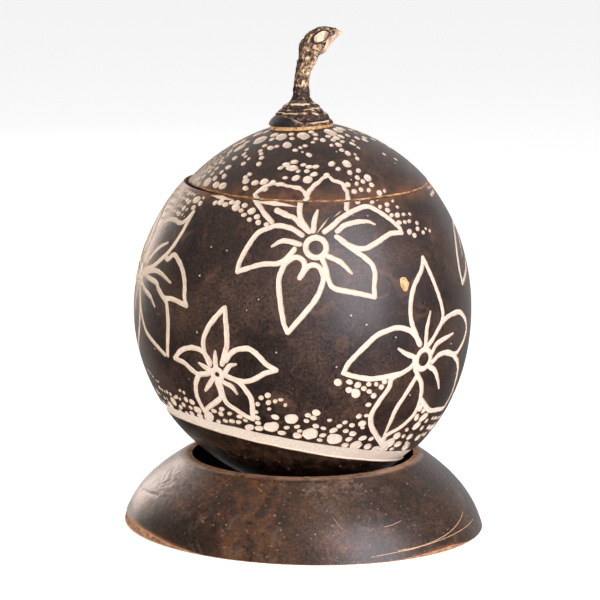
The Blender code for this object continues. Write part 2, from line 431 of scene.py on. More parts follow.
# Every flower: its place, petals, eye and hole, and how much it is turned and grown from the one drawn
FLOWERS = (
    ((5, 63.5), HIGH_FLOWER, 5.0, 2.7, 0, 1.0),
    ((-30, 107), SMALL_FLOWER, 3.1, 0.95, 0, 1.0),
    ((45, 103.5), LOW_FLOWER, 4.8, 2.6, 0, 1.0),
    ((-77, 78), SIDE_FLOWER, 4.9, 2.5, 0, 1.0),
    ((98, 62), EDGE_FLOWER, 4.8, 2.5, 0, 1.0),
    ((113, 108), SMALL_FLOWER, 3.3, 1.1, 40, 1.1),
    ((152, 78), LOW_FLOWER, 4.9, 2.6, 215, 0.92),
    ((-160, 106), SMALL_FLOWER, 3.3, 1.1, 160, 1.2),
    ((-136, 68), LOW_FLOWER, 4.8, 2.5, 100, 0.85),
    ((-113, 112), SMALL_FLOWER, 3.1, 1.0, 265, 1.1),
)
# On the high flower, one vein ends in a club, and two thin slits stand beside another: (bearing,
# distance) along each, then its width and the share of it at its start and its end
CLUB_AND_SLITS = (
    (((319, 21), (321, 18.4), (324, 15.6)), 2.5, 1.0, 0.7),
    (((4, 5.6), (12, 6.9), (24, 13.1)), 0.7, 0.4, 0.2),
    (((31, 14.3), (35, 18.3)), 0.6, 0.3, 0.2),
)
flower_cuts = []
for number, (path, wide, start, end) in enumerate(CLUB_AND_SLITS):
    bearing, distance = np.array(path, float).T
    flower_cuts.append(stroke(near(FLOWERS[0][0], bearing, distance), 60 + number, wide, start, end))
for number, (place, petals, eye, hole, turned, grown) in enumerate(FLOWERS):
    flower_cuts.append(flower_eye(place, eye * grown, hole * grown, number))
    for which, petal in enumerate(petals):
        flower_cuts += petal_strokes(place, petal, 10 * number + which, turned, grown)

# The pebbles
# Dots scattered like gravel round the stem, along the flowers and over the band, each cut with one twist
# of the gouge. Those in front are listed as (turn, drop, length), in groups that lean the same way.
PEBBLES = {
    "round the stem, left": (
        145,
        ((-30, 15.5, 5.6), (-19, 13.5, 2.8), (-15, 16.5, 2.9), (-44, 14.5, 3.8), (-54, 18.5, 6.4), (-39, 17.5, 3.2)),
        ((-31, 22.5, 3.4), (-26, 21.5, 2.2), (-39, 21.5, 2.5), (-38, 24.5, 2.6), (-35, 26, 2.5), (-32, 28, 2.5)),
        ((-31, 31, 2.9), (-17, 20.5, 4.4), (-66, 24.5, 5.4), (-54, 24.5, 2.7), (-51, 27, 2.8), (-47, 28, 2.1)),
        ((-42, 29, 2.1), (-43, 31.5, 2.7), (-56, 29.5, 3.2), (-72, 27.5, 3.5), (-2, 14.6, 6.2), (-4, 22, 2.1)),
        ((-8, 23.5, 2.4), (0, 21, 2.2), (-2, 24.5, 1.6), (3, 26, 3.1)),
    ),
    "round the stem, right": (
        20,
        ((10, 12, 2.8), (14, 14, 3.2), (12, 17, 2.4), (8, 19, 2.1), (28, 16, 2.7), (19, 18, 3), (30, 18.5, 2.9)),
        ((36, 17.5, 3.2), (44, 17, 3.2), (55, 17, 2.9), (38, 20, 2.6), (24, 21.5, 2.4), (31, 21.5, 3.2)),
        ((30, 24.5, 2.5), (46, 22, 3), (51, 20.5, 1.9), (47, 24.5, 2.1), (38, 13.5, 6.6), (56, 13, 4.8)),
        ((69, 12.5, 4.6), (62, 19.5, 2.9), (68, 21.5, 3.1), (33, 26.5, 3.2), (38, 27.5, 1.9), (37, 29.5, 2.7)),
    ),
    "left of the lid": (
        118,
        ((-80, 16, 4.9), (-72, 13.5, 4), (-80, 21.5, 4.6), (-81, 24, 4.6), (-67, 32.5, 3.3), (-63, 35.5, 2.7)),
        ((-68, 37.5, 2.8), (-74, 36, 3.1), (-62, 38, 2.4), (-76, 39, 3.1), (-73, 41.5, 3.3), (-67, 43, 2.8)),
        ((-53, 34, 3.4), (-50, 38, 3.3), (-55, 36.5, 2.7), (-60, 41.5, 5.4), (-56, 39.5, 3.2), (-51, 42, 4.2)),
        ((-46, 42, 3.9), (-31, 42, 3.2), (-27, 39.5, 3.2), (-33, 36, 2.7), (-34.5, 37.4, 2.4), (-33, 39, 3.3)),
    ),
    "over the high flower": (
        70,
        ((-7, 29.5, 3.1), (-1, 31, 2.6), (-12, 31, 3.2), (-15, 32.5, 2.8), (-8, 32.5, 4.6), (-4, 34, 2.1)),
        ((1, 34, 2.4), (5, 35.5, 3.4), (2.5, 32, 2.9), (6.5, 32, 3.2), (-11, 37, 2.5), (-5, 37, 3.6)),
        ((-17, 39, 2.6), (1.5, 37.8, 4), (12, 36, 3), (-22, 38.8, 3.6), (-20, 42, 2.8)),
    ),
    "right of the lid": (
        35,
        ((17, 31, 3.5), (20, 33.5, 2.5), (27, 31.5, 4.2), (26, 35.5, 2.8), (32, 35, 2.8), (29, 38, 2.7)),
        ((31, 39.8, 2.6), (35, 38.5, 3.6), (27, 40.5, 2.5), (35, 41.5, 2.5), (22, 40.5, 2.6), (28, 43, 2.4)),
        ((32, 43.5, 2.4), (24, 43.5, 2.6), (37, 45, 3.2), (40.5, 44.5, 2.2)),
    ),
    "under the seam, left": (
        98,
        ((-55, 49, 4.4), (-51, 47.8, 1.9), (-51, 50, 2.9), (-54, 52, 2.9), (-42, 49, 2.5), (-39, 48.5, 3.1)),
        ((-36, 49.2, 3.1), (-33, 48.2, 2.9), (-30, 48.2, 2.9), (-30, 50, 3.6), (-26, 49, 2.9), (-27, 51, 2.3)),
        ((-25, 52.5, 2.7), (-22, 51, 3.4), (-19, 53, 2.6), (-22, 54.2, 2.2), (-18, 55, 2.6), (-14.5, 55.6, 2.3)),
    ),
    "under the seam, right": (
        78,
        ((25, 48, 2.6), (32, 48.5, 2.4), (35, 47.4, 2.2), (35, 50.5, 2.3), (39, 50, 2.7), (38, 52, 2.5)),
        ((43, 49, 1.8), (44, 51.4, 1.8), (39, 54, 2.4), (42, 54.2, 2.9), (45.5, 54.3, 2.2), (49, 54.5, 1.7)),
        ((41.5, 56.8, 2.6), (44.5, 57, 2.1), (47, 57, 2.3), (51, 58, 2.1), (45, 60.5, 3.1), (47, 62, 2.6)),
        ((50, 60, 2.4), (52.5, 61.6, 2.4), (55, 60.5, 1.5), (57, 61.5, 2)),
    ),
    "by the small flower": (
        60,
        ((-17, 119.5, 1.9), (-16, 116.5, 2.1), (-14.5, 114, 2.2), (-12, 118, 1.9), (-12, 115.6, 2.5)),
        ((-9.5, 115, 2), (-7.5, 114.4, 2.1), (-6, 116.3, 1.9), (-12, 113, 2.5)),
    ),
    "over the band, left": (
        72,
        ((-63, 123.5, 5), (-58, 121, 4.3), (-54, 122.5, 3.1), (-51, 121, 2.8), (-56, 124.2, 2.4)),
        ((-47, 121.5, 2.5), (-48, 118.5, 2.7), (-45, 119, 3.3), (-51.5, 124.5, 2.4), (-48, 124, 2.8)),
        ((-43.5, 121.8, 4.5), (-43.5, 124.2, 3.3), (-38.5, 123.7, 5.6), (-35, 121, 3), (-32, 121.8, 2.6)),
        ((-31, 119.8, 2.9), (-28, 121.2, 2.5), (-24, 122, 2.7), (-34.5, 125.2, 2.7), (-31, 124.4, 2.5)),
        ((-28, 124.2, 2.9), (-25, 124.2, 2.8), (-22, 123.2, 2.1), (-21, 126, 4.2), (-17, 126, 3.7)),
        ((-17, 123.8, 2.5), (-17, 121.8, 2.6)),
    ),
    "over the band, front": (
        100,
        ((-10, 121, 3.2), (-4, 121.5, 5), (-12, 125, 6.1), (-6, 125, 2.4), (-8, 127.3, 3.3), (-2, 124.5, 2.5)),
        ((-2, 128.2, 3.4), (2, 120, 2.5), (5, 119, 3.3), (4, 121, 2.7), (1.5, 122.2, 2.3), (10, 122, 2)),
        ((5, 124.2, 2.7), (8, 125.1, 2.3), (3, 127.3, 5.8), (-1, 126.3, 2), (8, 128, 2.7), (7, 130, 2.3)),
        ((12, 126, 3.5), (14, 124.4, 2.4), (16, 123, 2.1), (19, 124.3, 2.6), (17, 126.5, 2.5), (13, 129.6, 6)),
        ((20, 127.8, 3), (19, 130, 2.8), (18, 132.5, 2.8), (23, 133, 4.9), (21, 121, 2.4), (24, 121, 2.1)),
        ((23, 124, 3.3), (23.5, 125.6, 2), (25, 130, 3.4), (29, 130.6, 2.5), (24, 117, 2.7)),
    ),
    "under the low flower": (
        125,
        ((12, 108.3, 3.2), (16, 108.4, 3), (19, 109.6, 2.9), (21.4, 111, 2.6), (16, 111.2, 3.1), (18.6, 112.5, 4.2)),
        ((23, 109.6, 2.3), (25.8, 109.8, 2.2), (28, 111, 2.6), (29, 109.2, 2.6), (23.6, 112.2, 2.7)),
        ((25.5, 113.8, 2.7),),
    ),
    "over the band, right": (
        120,
        ((29, 134, 3.5), (34, 135.5, 4.1), (40, 133.5, 5.2), (38.5, 136, 4.4), (44, 136.8, 2.8), (46, 135, 4.4)),
        ((42, 130.8, 4.1), (46.5, 129, 2.5), (46.5, 131.6, 2.5), (52, 135, 2.4), (51.5, 132.6, 3.5)),
        ((49, 124.5, 3.8), (54, 125.3, 5), (52, 128.2, 4.6), (57.5, 130, 2.5), (60, 134.3, 4), (54.5, 137.4, 5.6)),
        ((52, 122.4, 2.9), (58, 127.2, 2.5), (49, 121, 3.4)),
    ),
}

# The rest run on along lines, which they stray from, over the sides and the back. Each run is its stations,
# its least and greatest dot, the gap between them, their straying, their lean and how often it is walked.
PEBBLE_RUNS = (
    # Down the left of the lid to the seam
    (((-86, 17.5), (-76, 20), (-64, 21.5)), 2.0, 3.6, 0.5, 0.4, 112, 1),
    (((-104, 16), (-90, 20), (-76, 25.5), (-66, 31), (-60, 34)), 2.0, 3.6, 0.3, 0.5, 112, 1),
    (((-104, 21), (-88, 26), (-76, 31), (-68, 35.5)), 1.8, 3.4, 0.3, 0.5, 114, 1),
    (((-106, 26), (-92, 31), (-80, 35.5), (-70, 39.5), (-64, 42.6)), 1.8, 3.4, 0.3, 0.5, 116, 1),
    (((-110, 31), (-96, 36), (-84, 40.5), (-76, 43.4)), 1.8, 3.4, 0.3, 0.5, 116, 1),
    (((-112, 37), (-100, 40.5), (-88, 43.6)), 1.8, 3.2, 0.4, 0.5, 112, 1),
    (((-100, 18.4), (-84, 23), (-72, 28.4), (-64, 33)), 1.8, 3.4, 0.0, 1.4, 114, 5),
    (((-100, 24), (-86, 28.6), (-76, 33.2), (-66, 38)), 1.8, 3.4, 0.0, 1.4, 114, 5),
    (((-104, 30), (-90, 34), (-78, 38), (-68, 41.4)), 1.8, 3.2, 0.0, 1.4, 114, 5),
    # Down the right of the lid
    (((78, 15), (92, 16), (108, 15.6)), 2.8, 4.4, 0.8, 0.3, 95, 1),
    (((74, 19), (84, 22), (92, 28), (96, 36)), 2.0, 3.8, 1.6, 0.8, 100, 1),
    (((64, 29), (72, 32.5), (76, 37)), 1.8, 2.8, 3.5, 0.6, 150, 1),
    # Over the side flower, under the seam
    (((-58, 47.4), (-70, 47.2), (-82, 48), (-94, 49.4)), 1.8, 3.0, 0.2, 0.3, 60, 1),
    (((-58, 50.6), (-68, 49.8), (-80, 50.6), (-94, 52)), 1.8, 3.0, 0.2, 0.3, 60, 1),
    (((-57, 53.6), (-66, 52.4), (-76, 53), (-90, 54.6)), 1.8, 3.0, 0.2, 0.3, 58, 1),
    (((-58, 55.6), (-68, 55), (-78, 56), (-88, 58)), 1.8, 2.8, 0.3, 0.3, 58, 1),
    (((-64, 57.8), (-72, 58.2), (-80, 60)), 1.6, 2.6, 0.3, 0.3, 56, 1),
    (((-96, 54), (-108, 52)), 1.5, 2.6, 0.6, 0.9, 90, 1),
    # Left corner over the band
    (((-66, 124.6), (-72, 123.4), (-78, 122)), 1.8, 3.4, 0.3, 0.3, 60, 1),
    (((-62, 120.6), (-68, 120.8), (-74, 119.6)), 1.8, 3.2, 0.3, 0.4, 55, 1),
    (((-52, 118.8), (-56, 118.6), (-61, 117.6), (-68, 117)), 1.6, 2.8, 0.4, 0.4, 55, 1),
    (((-47, 116.2), (-50, 115.6)), 1.8, 2.6, 0.3, 0.3, 60, 1),
    (((-64, 115), (-70, 113.6), (-74, 111)), 1.6, 2.8, 0.8, 0.6, 60, 1),
    # Between the low flower's lower petals and the band, at the right
    (((60, 122.6), (66, 124), (74, 124.6)), 2.0, 4.0, 0.4, 0.4, 105, 1),
    (((62, 126.4), (70, 128), (80, 128)), 2.0, 4.4, 0.4, 0.4, 105, 1),
    (((62, 130.2), (70, 131.6), (80, 131)), 2.0, 4.4, 0.4, 0.4, 110, 1),
    (((62, 133), (72, 134.2), (82, 133.4)), 2.0, 4.0, 0.4, 0.3, 110, 1),
    (((74, 122), (84, 120.6), (94, 119.6)), 1.8, 3.0, 0.8, 1.0, 100, 1),
    # The back: along the band, under the seam and on the lid
    (((-78, 121.4), (-92, 119.4), (-112, 118.4), (-132, 118)), 2.0, 5.4, 0.6, 2.3, 90, 3),
    (((-132, 118.4), (-150, 118.8), (-170, 119.8), (-190, 121.4)), 2.0, 5.4, 0.6, 2.3, 90, 3),
    (((170, 121.4), (150, 123.6), (130, 126), (112, 128.4), (94, 130.6), (80, 132.4)), 2.0, 5.4, 0.6, 2.3, 90, 3),
    (((-84, 117), (-98, 114.6), (-112, 114)), 1.8, 3.2, 0.6, 1.8, 90, 2),
    (((-126, 114), (-142, 114.6)), 1.8, 3.2, 0.6, 1.8, 90, 2),
    (((-178, 118), (-190, 117), (-205, 119)), 1.8, 3.2, 0.6, 1.8, 90, 2),
    (((140, 119.4), (130, 121), (122, 124)), 1.8, 3.2, 0.6, 1.8, 90, 2),
    (((104, 126), (96, 126.6), (88, 128)), 1.8, 3.0, 0.6, 1.8, 90, 2),
    (((76, 49), (90, 49.4), (104, 49.2), (120, 49.6)), 1.8, 2.8, 0.6, 1.8, 90, 2),
    (((120, 49.6), (136, 50.6), (150, 50), (166, 50.4)), 1.8, 2.8, 0.6, 1.8, 90, 2),
    (((172, 53), (180, 55), (188, 59), (194, 64)), 1.8, 2.8, 0.6, 1.8, 90, 2),
    (((-168, 50), (-150, 49.4), (-134, 50), (-118, 50.6)), 1.8, 2.8, 0.6, 1.8, 90, 2),
    (((-176, 86), (-170, 90), (-174, 94)), 1.8, 2.8, 0.6, 1.8, 90, 2),
    (((-116, 92), (-108, 96), (-112, 100)), 1.8, 2.6, 0.6, 1.8, 90, 2),
    (((126, 100), (132, 104), (138, 110)), 1.8, 2.6, 0.6, 1.8, 90, 2),
    (((110, 14), (140, 13.6), (180, 13.6), (220, 13.8), (250, 14)), 2.6, 5.4, 0.6, 2.3, 0, 3),
    (((80, 18), (120, 18.4), (160, 18), (200, 18.4), (250, 18.6)), 1.8, 3.6, 0.6, 2.3, 20, 3),
    (((110, 22.5), (150, 22), (190, 22), (240, 23)), 1.8, 3.0, 0.6, 1.8, 60, 2),
    (((100, 24), (116, 28), (128, 33), (134, 38)), 1.8, 2.8, 0.6, 1.8, 90, 2),
    (((150, 22), (160, 27), (172, 31), (186, 34)), 1.8, 2.8, 0.6, 1.8, 90, 2),
    (((205, 23), (216, 28), (222, 34), (226, 40)), 1.8, 3.2, 0.6, 1.8, 90, 2),
    (((236, 25), (242, 31), (250, 37), (256, 42)), 1.8, 3.2, 0.6, 1.8, 90, 2),
    (((96, 42), (112, 43.6), (130, 43.4), (146, 42.4)), 1.8, 3.0, 0.6, 1.8, 90, 2),
    (((166, 42), (184, 43.4), (204, 43.2), (224, 43.6)), 1.8, 3.2, 0.6, 1.8, 90, 2),
)
pebble_cuts = []
laid = []
draw = random.Random(31)


def lay_pebble(place, long, lean, seed):
    """Adds one dot, with a shape and a tilt of its own."""
    laid.append((unit(*place), long))
    heading = draw.gauss(lean, 16)
    pebble_cuts.append(pebble(place, heading, long, long * draw.uniform(0.66, 0.92), seed))


for number, (lean, *rows) in enumerate(PEBBLES.values()):
    for turn, drop, long in (dot for row in rows for dot in row):
        lay_pebble((turn, drop), long, lean, number)
stroke_edges = np.vstack([cut.outline for cut in flower_cuts])


def is_clear(middle, size):
    """Whether a dot of this size would touch no other dot and no stroke."""
    if any(np.linalg.norm(middle - other) * BALL <= 0.4 * (size + width) for other, width in laid):
        return False
    return np.linalg.norm(stroke_edges - middle, axis=1).min() * BALL > 0.5 * size + 0.2


for number, (path, small, large, gap, stray, lean, walks) in enumerate(PEBBLE_RUNS):
    turn, drop = np.array(path, float).T
    line = smooth(BALL * unit(turn, drop), 0.4)
    travelled = np.concatenate([[0.0], np.cumsum(np.linalg.norm(np.diff(line, axis=0), axis=1))])
    at = 0.0
    while at < walks * travelled[-1]:
        size = small + (large - small) * draw.random() ** 1.8
        along = (at + size / 2) % travelled[-1]
        middle = normalised(np.array([np.interp(along, travelled, line[:, axis]) for axis in range(3)]))
        down = math.degrees(math.acos(middle[2])) + draw.uniform(-stray, stray)
        turned = math.degrees(math.atan2(middle[1], middle[0])) + 90
        turned += draw.uniform(-stray, stray) / math.sin(math.radians(down))
        at += 0.9 * size + gap
        if is_clear(unit(turned, down), size):
            lay_pebble((turned, down), size, lean, number)

# The chips
# Where the saw broke out of the skin, slivers came off along the bowl's rim. They are cream to golden, and
# so is one small scab on the bowl's right.
SLIVERS = (
    (((-47, 46.4), (-39.6, 46.8), (-32.4, 47.3)), 1.9),
    (((-22.5, 47.3), (-14.3, 47.7), (-8.5, 48.1), (-2, 49.0)), 2.2),
)
SCAB_AT = (37, 77.6)
chip_cuts = []
for number, (path, wide) in enumerate(SLIVERS):
    turn, drop = np.array(path, float).T
    sliver = stroke(unit(turn, drop), 70 + number, wide, start=0.12, end=0.12, fade=0.5, depth=0.3)
    chip_cuts.append(sliver)
scab = [loop_around(SCAB_AT, radius, 18, 73, rough=0.5) for radius in (2.3, 2.0)]
chip_cuts.append(Cut(scab[0], scab[1:], finish=CHIP, depth=0.25))

# The band
# A strip as wide as a thumbnail's edge, pared right round the gourd on a slant, high at the left and back.
BAND_HEIGHT = 36.3
BAND_FALL = (-0.197, -0.086)
BAND_WIDE = 5.2
BAND_SWELL = 0.16
BAND_SWELL_AT = 55.0
BAND_PLACES = 270


def band_edge(up):
    """A closed loop of ways on the gourd, up millimetres along the skin from the band's middle line."""
    turn = np.linspace(-180, 180, BAND_PLACES, endpoint=False)
    span = np.ones_like(turn)

    def is_below(drop):
        point = BOWL.points(unit(turn, drop))
        line = BAND_HEIGHT + BAND_FALL[0] * point[..., 0] + BAND_FALL[1] * point[..., 1]
        return point[..., 2] < line

    drop = crossing(90 * span, 160 * span, is_below)
    uneven = 0.22 * ragged(BALL * unit(turn, drop), 6.0, 3 + np.sign(up))
    up = up * (1 + BAND_SWELL * np.cos(np.radians(turn - BAND_SWELL_AT)))
    return unit(turn, drop - np.degrees((up + uneven) / BALL))


band_cut = Cut(
    band_edge(BAND_WIDE / 2),
    [band_edge(BAND_WIDE / 2 - CUT_WALL), band_edge(CUT_WALL - BAND_WIDE / 2)],
    hole=band_edge(-BAND_WIDE / 2),
)

# The shell of the bowl and of the lid
# Each is one piece of gourd: the carved skin, the sawn rim with its edges broken, and the scraped inside.
SKIN_STEP = 1.75
KEEP_CLEAR = 0.75
RIM_PLACES = 300
SKIN_WAVE = 0.22


def unrolled(way, pole):
    """The skin laid flat from its pole, with every small shape true."""
    return 2 * way[:, :2] / (1 + pole * way[:, 2:])


def rolled(flat, pole):
    spread = (flat**2).sum(1, keepdims=True) / 4
    return np.hstack([flat, pole * (1 - spread)]) / (1 + spread)


def even_places(step):
    """Ways spread evenly over the whole gourd, about step millimetres apart."""
    count = round(4 * math.pi * BALL**2 / (0.866 * step**2))
    number = np.arange(count) + 0.5
    up = 1 - 2 * number / count
    around = number * math.pi * (3 - math.sqrt(5))
    out = np.sqrt(1 - up**2)
    return np.stack([out * np.cos(around), out * np.sin(around), up], -1)


def counter_clockwise(loop, flat):
    x, y = flat[loop].T
    turns_left = (x * np.roll(y, -1) - y * np.roll(x, -1)).sum() > 0
    return loop if turns_left else loop[::-1]


def carved(half, cuts, rim):
    """Triangles of a half's skin with its cuts: flat places, triangles, their finishes and each depth."""
    loops = [rim]
    pushed = [np.zeros(len(rim))]
    faces = [np.arange(len(rim))]
    owner = {0: None}
    hole_of = {}
    edges = []
    total = len(rim)
    for cut in cuts:
        outlines = [cut.outline] if cut.hole is None else [cut.outline, cut.hole]
        for loop in outlines:
            faces.append(np.arange(total, total + len(loop)))
            if loop is cut.outline:
                owner[len(faces) - 1] = cut
            else:
                hole_of[id(cut)] = len(faces) - 1
            loops.append(loop)
            total += len(loop)
        for loop in cut.floors:
            numbers = np.arange(total, total + len(loop))
            edges += list(zip(numbers.tolist(), np.roll(numbers, -1).tolist()))
            loops.append(loop)
            total += len(loop)
    ways = np.vstack(loops)
    crowded = kdtree.KDTree(len(ways))
    for number, way in enumerate(ways):
        crowded.insert(way * BALL, number)
    crowded.balance()
    spread = even_places(SKIN_STEP)
    inside = half.pole * spread[:, 2] > half.pole * np.interp(
        np.arctan2(spread[:, 1], spread[:, 0]), *rim_heights(rim), period=2 * math.pi
    )
    spread = [way for way in spread[inside] if crowded.find(way * BALL)[2] > KEEP_CLEAR]
    flat = unrolled(np.vstack([ways, spread]), half.pole)
    faces = [counter_clockwise(face, flat).tolist() for face in faces]
    places, _, triangles, _, _, kinds = geometry.delaunay_2d_cdt(
        [Vector(place) for place in flat.tolist()], edges, faces, 0, 1e-6, True
    )
    kept = []
    finishes = []
    depth = np.full(len(places), np.inf)
    for triangle, kind in zip(triangles, kinds):
        if 0 not in kind:
            continue
        over = [owner[number] for number in kind if owner.get(number)]
        over = [cut for cut in over if hole_of.get(id(cut)) not in kind]
        kept.append(triangle)
        finishes.append(min(cut.finish for cut in over) if over else SKIN)
        level = max(cut.depth for cut in over) if over else 0.0
        for corner in triangle:
            depth[corner] = min(depth[corner], level)
    return np.array(places, float), np.array(kept), finishes, depth


def rim_heights(rim):
    """The rim's angles around, in order, and the heights of its unit vectors there."""
    around = np.arctan2(rim[:, 1], rim[:, 0])
    order = np.argsort(around)
    return around[order], rim[order, 2]


def edge_loop(triangles, flat):
    """The corners on the open edge of the skin, in order around the pole."""
    sides = np.sort(np.vstack([triangles[:, [0, 1]], triangles[:, [1, 2]], triangles[:, [2, 0]]]), axis=1)
    found, count = np.unique(sides, axis=0, return_counts=True)
    corners = np.unique(found[count == 1])
    return corners[np.argsort(np.arctan2(flat[corners, 1], flat[corners, 0]))]


def make_shell(name, half, cuts, rim_rows, inner_rows):
    """One closed mesh: the carved skin, then loops across the sawn rim and down the inside to its pole."""
    turn = np.linspace(-180, 180, RIM_PLACES, endpoint=False)
    first_inset, first_above = rim_rows[0]
    rim = half.sawn_at(turn, first_inset, first_above * half.pole)
    flat, triangles, finishes, depth = carved(half, cuts, rim)
    used, triangles = np.unique(triangles, return_inverse=True)
    triangles = triangles.reshape(-1, 3)
    flat, depth = flat[used], depth[used]
    way = rolled(flat, half.pole)
    wave = SKIN_WAVE * (0.5 + 0.5 * ragged(way * BALL, 17.0, 9))
    chatter = 0.12 * ragged(way * BALL, 0.9, 4)
    carved_depth = depth * (1 + chatter)
    points = [half.points(way, carved_depth + wave)]
    share = [depth / CUT_DEPTH]
    loop = edge_loop(triangles, flat)
    faces = [tuple(corners if half.pole > 0 else corners[::-1]) for corners in triangles.tolist()]
    around = np.degrees(np.arctan2(way[loop, 1], way[loop, 0])) + 90
    rough = 0.06 * ragged(way[loop] * BALL, 1.1, 6)

    def join(row_a, row_b, finish):
        for i in range(len(row_a)):
            j = (i + 1) % len(row_a)
            face = (row_a[i], row_b[i], row_b[j], row_a[j])
            faces.append(face if half.pole > 0 else face[::-1])
            finishes.append(finish)

    row = loop.tolist()
    total = len(way)
    for number, (inset, above) in enumerate(rim_rows[1:], start=1):
        level = np.maximum(inset, carved_depth[loop] + wave[loop] + 0.05 * number)
        ways = half.sawn_at(around, level, above * half.pole + rough)
        points.append(half.points(ways, level))
        share.append(np.full(len(loop), 0.3 if number == 1 else 1.0))
        new = list(range(total, total + len(loop)))
        join(row, new, RIND)
        row, total = new, total + len(loop)
    drop = np.degrees(np.arccos(ways[:, 2]))
    bottom = 0.0 if half.pole > 0 else 180.0
    for number in range(1, inner_rows):
        ways = unit(around, drop + (bottom - drop) * number / inner_rows)
        level = half.wall + 0.25 * ragged(ways * BALL, 8.0, 2) * math.sin(math.pi * number / inner_rows)
        points.append(half.points(ways, level))
        share.append(np.full(len(loop), 1.0))
        new = list(range(total, total + len(loop)))
        join(row, new, INSIDE)
        row, total = new, total + len(loop)
    points.append(half.points(unit([0.0], [bottom]), half.wall))
    share.append(np.ones(1))
    for i in range(len(row)):
        face = (row[i], total, row[(i + 1) % len(row)])
        faces.append(face if half.pole > 0 else face[::-1])
        finishes.append(INSIDE)
    return finished_mesh(name, np.vstack(points), faces, finishes, {"cut_share": np.concatenate(share)})


def finished_mesh(name, points, faces, finishes, marks, crease=math.radians(42)):
    """A smooth-shaded object, sharp where finishes meet. marks are named values at its corners."""
    mesh = bpy.data.meshes.new(name)
    mesh.from_pydata((points * MM).tolist(), [], faces)
    mesh.polygons.foreach_set("material_index", finishes)
    for mark, values in marks.items():
        layer = mesh.attributes.new(mark, "FLOAT", "POINT")
        layer.data.foreach_set("value", np.asarray(values, np.float32))
    mesh.shade_smooth()
    mesh.set_sharp_from_angle(angle=crease)
    bm = bmesh.new()
    bm.from_mesh(mesh)
    for edge in bm.edges:
        if len(edge.link_faces) == 2 and edge.link_faces[0].material_index != edge.link_faces[1].material_index:
            edge.smooth = False
    bm.to_mesh(mesh)
    bm.free()
    piece = bpy.data.objects.new(name, mesh)
    bpy.context.scene.collection.objects.link(piece)
    return piece


bowl_cuts = [cut for cut in flower_cuts + pebble_cuts if cut.outline[:, 2].min() < 0.74] + chip_cuts + [band_cut]
BOWL_RIM = ((0.0, -0.3), (0.3, 0.0), (1.3, 0.0), (2.4, 0.0), (3.5, 0.0), (4.0, 0.0), (4.2, -0.3))
bowl = make_shell("gourd_bowl_carved", BOWL, bowl_cuts, BOWL_RIM, 16)


def linear(colour):
    """An sRGB hex colour as linear red, green, blue and alpha."""
    parts = [int(colour[i : i + 2], 16) / 255 for i in (1, 3, 5)]
    return [p / 12.92 if p <= 0.04045 else ((p + 0.055) / 1.055) ** 2.4 for p in parts] + [1.0]


def new_material(name):
    """An empty material with its Principled shader."""
    material = bpy.data.materials.new(name)
    material.use_nodes = True
    return material, material.node_tree, material.node_tree.nodes["Principled BSDF"]


def add(tree, kind, inputs=None, stops=None, **settings):
    """One node. inputs maps a socket's name or number to a value or to the output that feeds it."""
    node = tree.nodes.new(kind)
    for name, value in settings.items():
        setattr(node, name, value)
    for name, value in (inputs or {}).items():
        if isinstance(value, bpy.types.NodeSocket):
            tree.links.new(value, node.inputs[name])
        else:
            node.inputs[name].default_value = value
    for number, (at, colour) in enumerate(stops or ()):
        ramp = node.color_ramp.elements
        element = ramp[number] if number < 2 else ramp.new(at)
        element.position = at
        element.color = linear(colour)
    return node


def in_millimetres(tree):
    """Places on the piece in millimetres, for patterns with a real size."""
    place = add(tree, "ShaderNodeTexCoord").outputs["Object"]
    return add(tree, "ShaderNodeVectorMath", {0: place, "Scale": 1 / MM}, operation="SCALE").outputs[0]


def patches(tree, place, size, low, high, detail=2.0, rough=0.5, stretch=(1, 1, 1), warp=0.0):
    """A mask of soft patches about size millimetres across, from 0 below low to 1 above high."""
    stretched = add(tree, "ShaderNodeVectorMath", {0: place, 1: stretch}, operation="MULTIPLY").outputs[0]
    inputs = {"Vector": stretched, "Scale": 1 / size, "Detail": detail, "Roughness": rough, "Distortion": warp}
    noise_at = add(tree, "ShaderNodeTexNoise", inputs).outputs[0]
    return add(tree, "ShaderNodeMapRange", {"Value": noise_at, "From Min": low, "From Max": high}).outputs[0]


def specks(tree, place, apart, wide, share):
    """A mask of uneven specks, wide millimetres across, in a share of the cells that are apart millimetres."""
    shift = add(tree, "ShaderNodeTexNoise", {"Vector": place, "Scale": 1 / wide, "Detail": 2.0}).outputs["Color"]
    inputs = {0: shift, 1: (wide, wide, wide), 2: place}
    shifted = add(tree, "ShaderNodeVectorMath", inputs, operation="MULTIPLY_ADD").outputs[0]
    cell = add(tree, "ShaderNodeTexVoronoi", {"Vector": shifted, "Scale": 1 / apart})
    edge = {"Value": cell.outputs["Distance"], "From Min": wide / apart, "From Max": 0.4 * wide / apart}
    spot = add(tree, "ShaderNodeMapRange", edge).outputs[0]
    lot = add(tree, "ShaderNodeSeparateColor", {0: cell.outputs["Color"]}).outputs[0]
    chosen = add(tree, "ShaderNodeMath", {0: lot, 1: share}, operation="LESS_THAN").outputs[0]
    return add(tree, "ShaderNodeMath", {0: spot, 1: chosen}, operation="MULTIPLY").outputs[0]


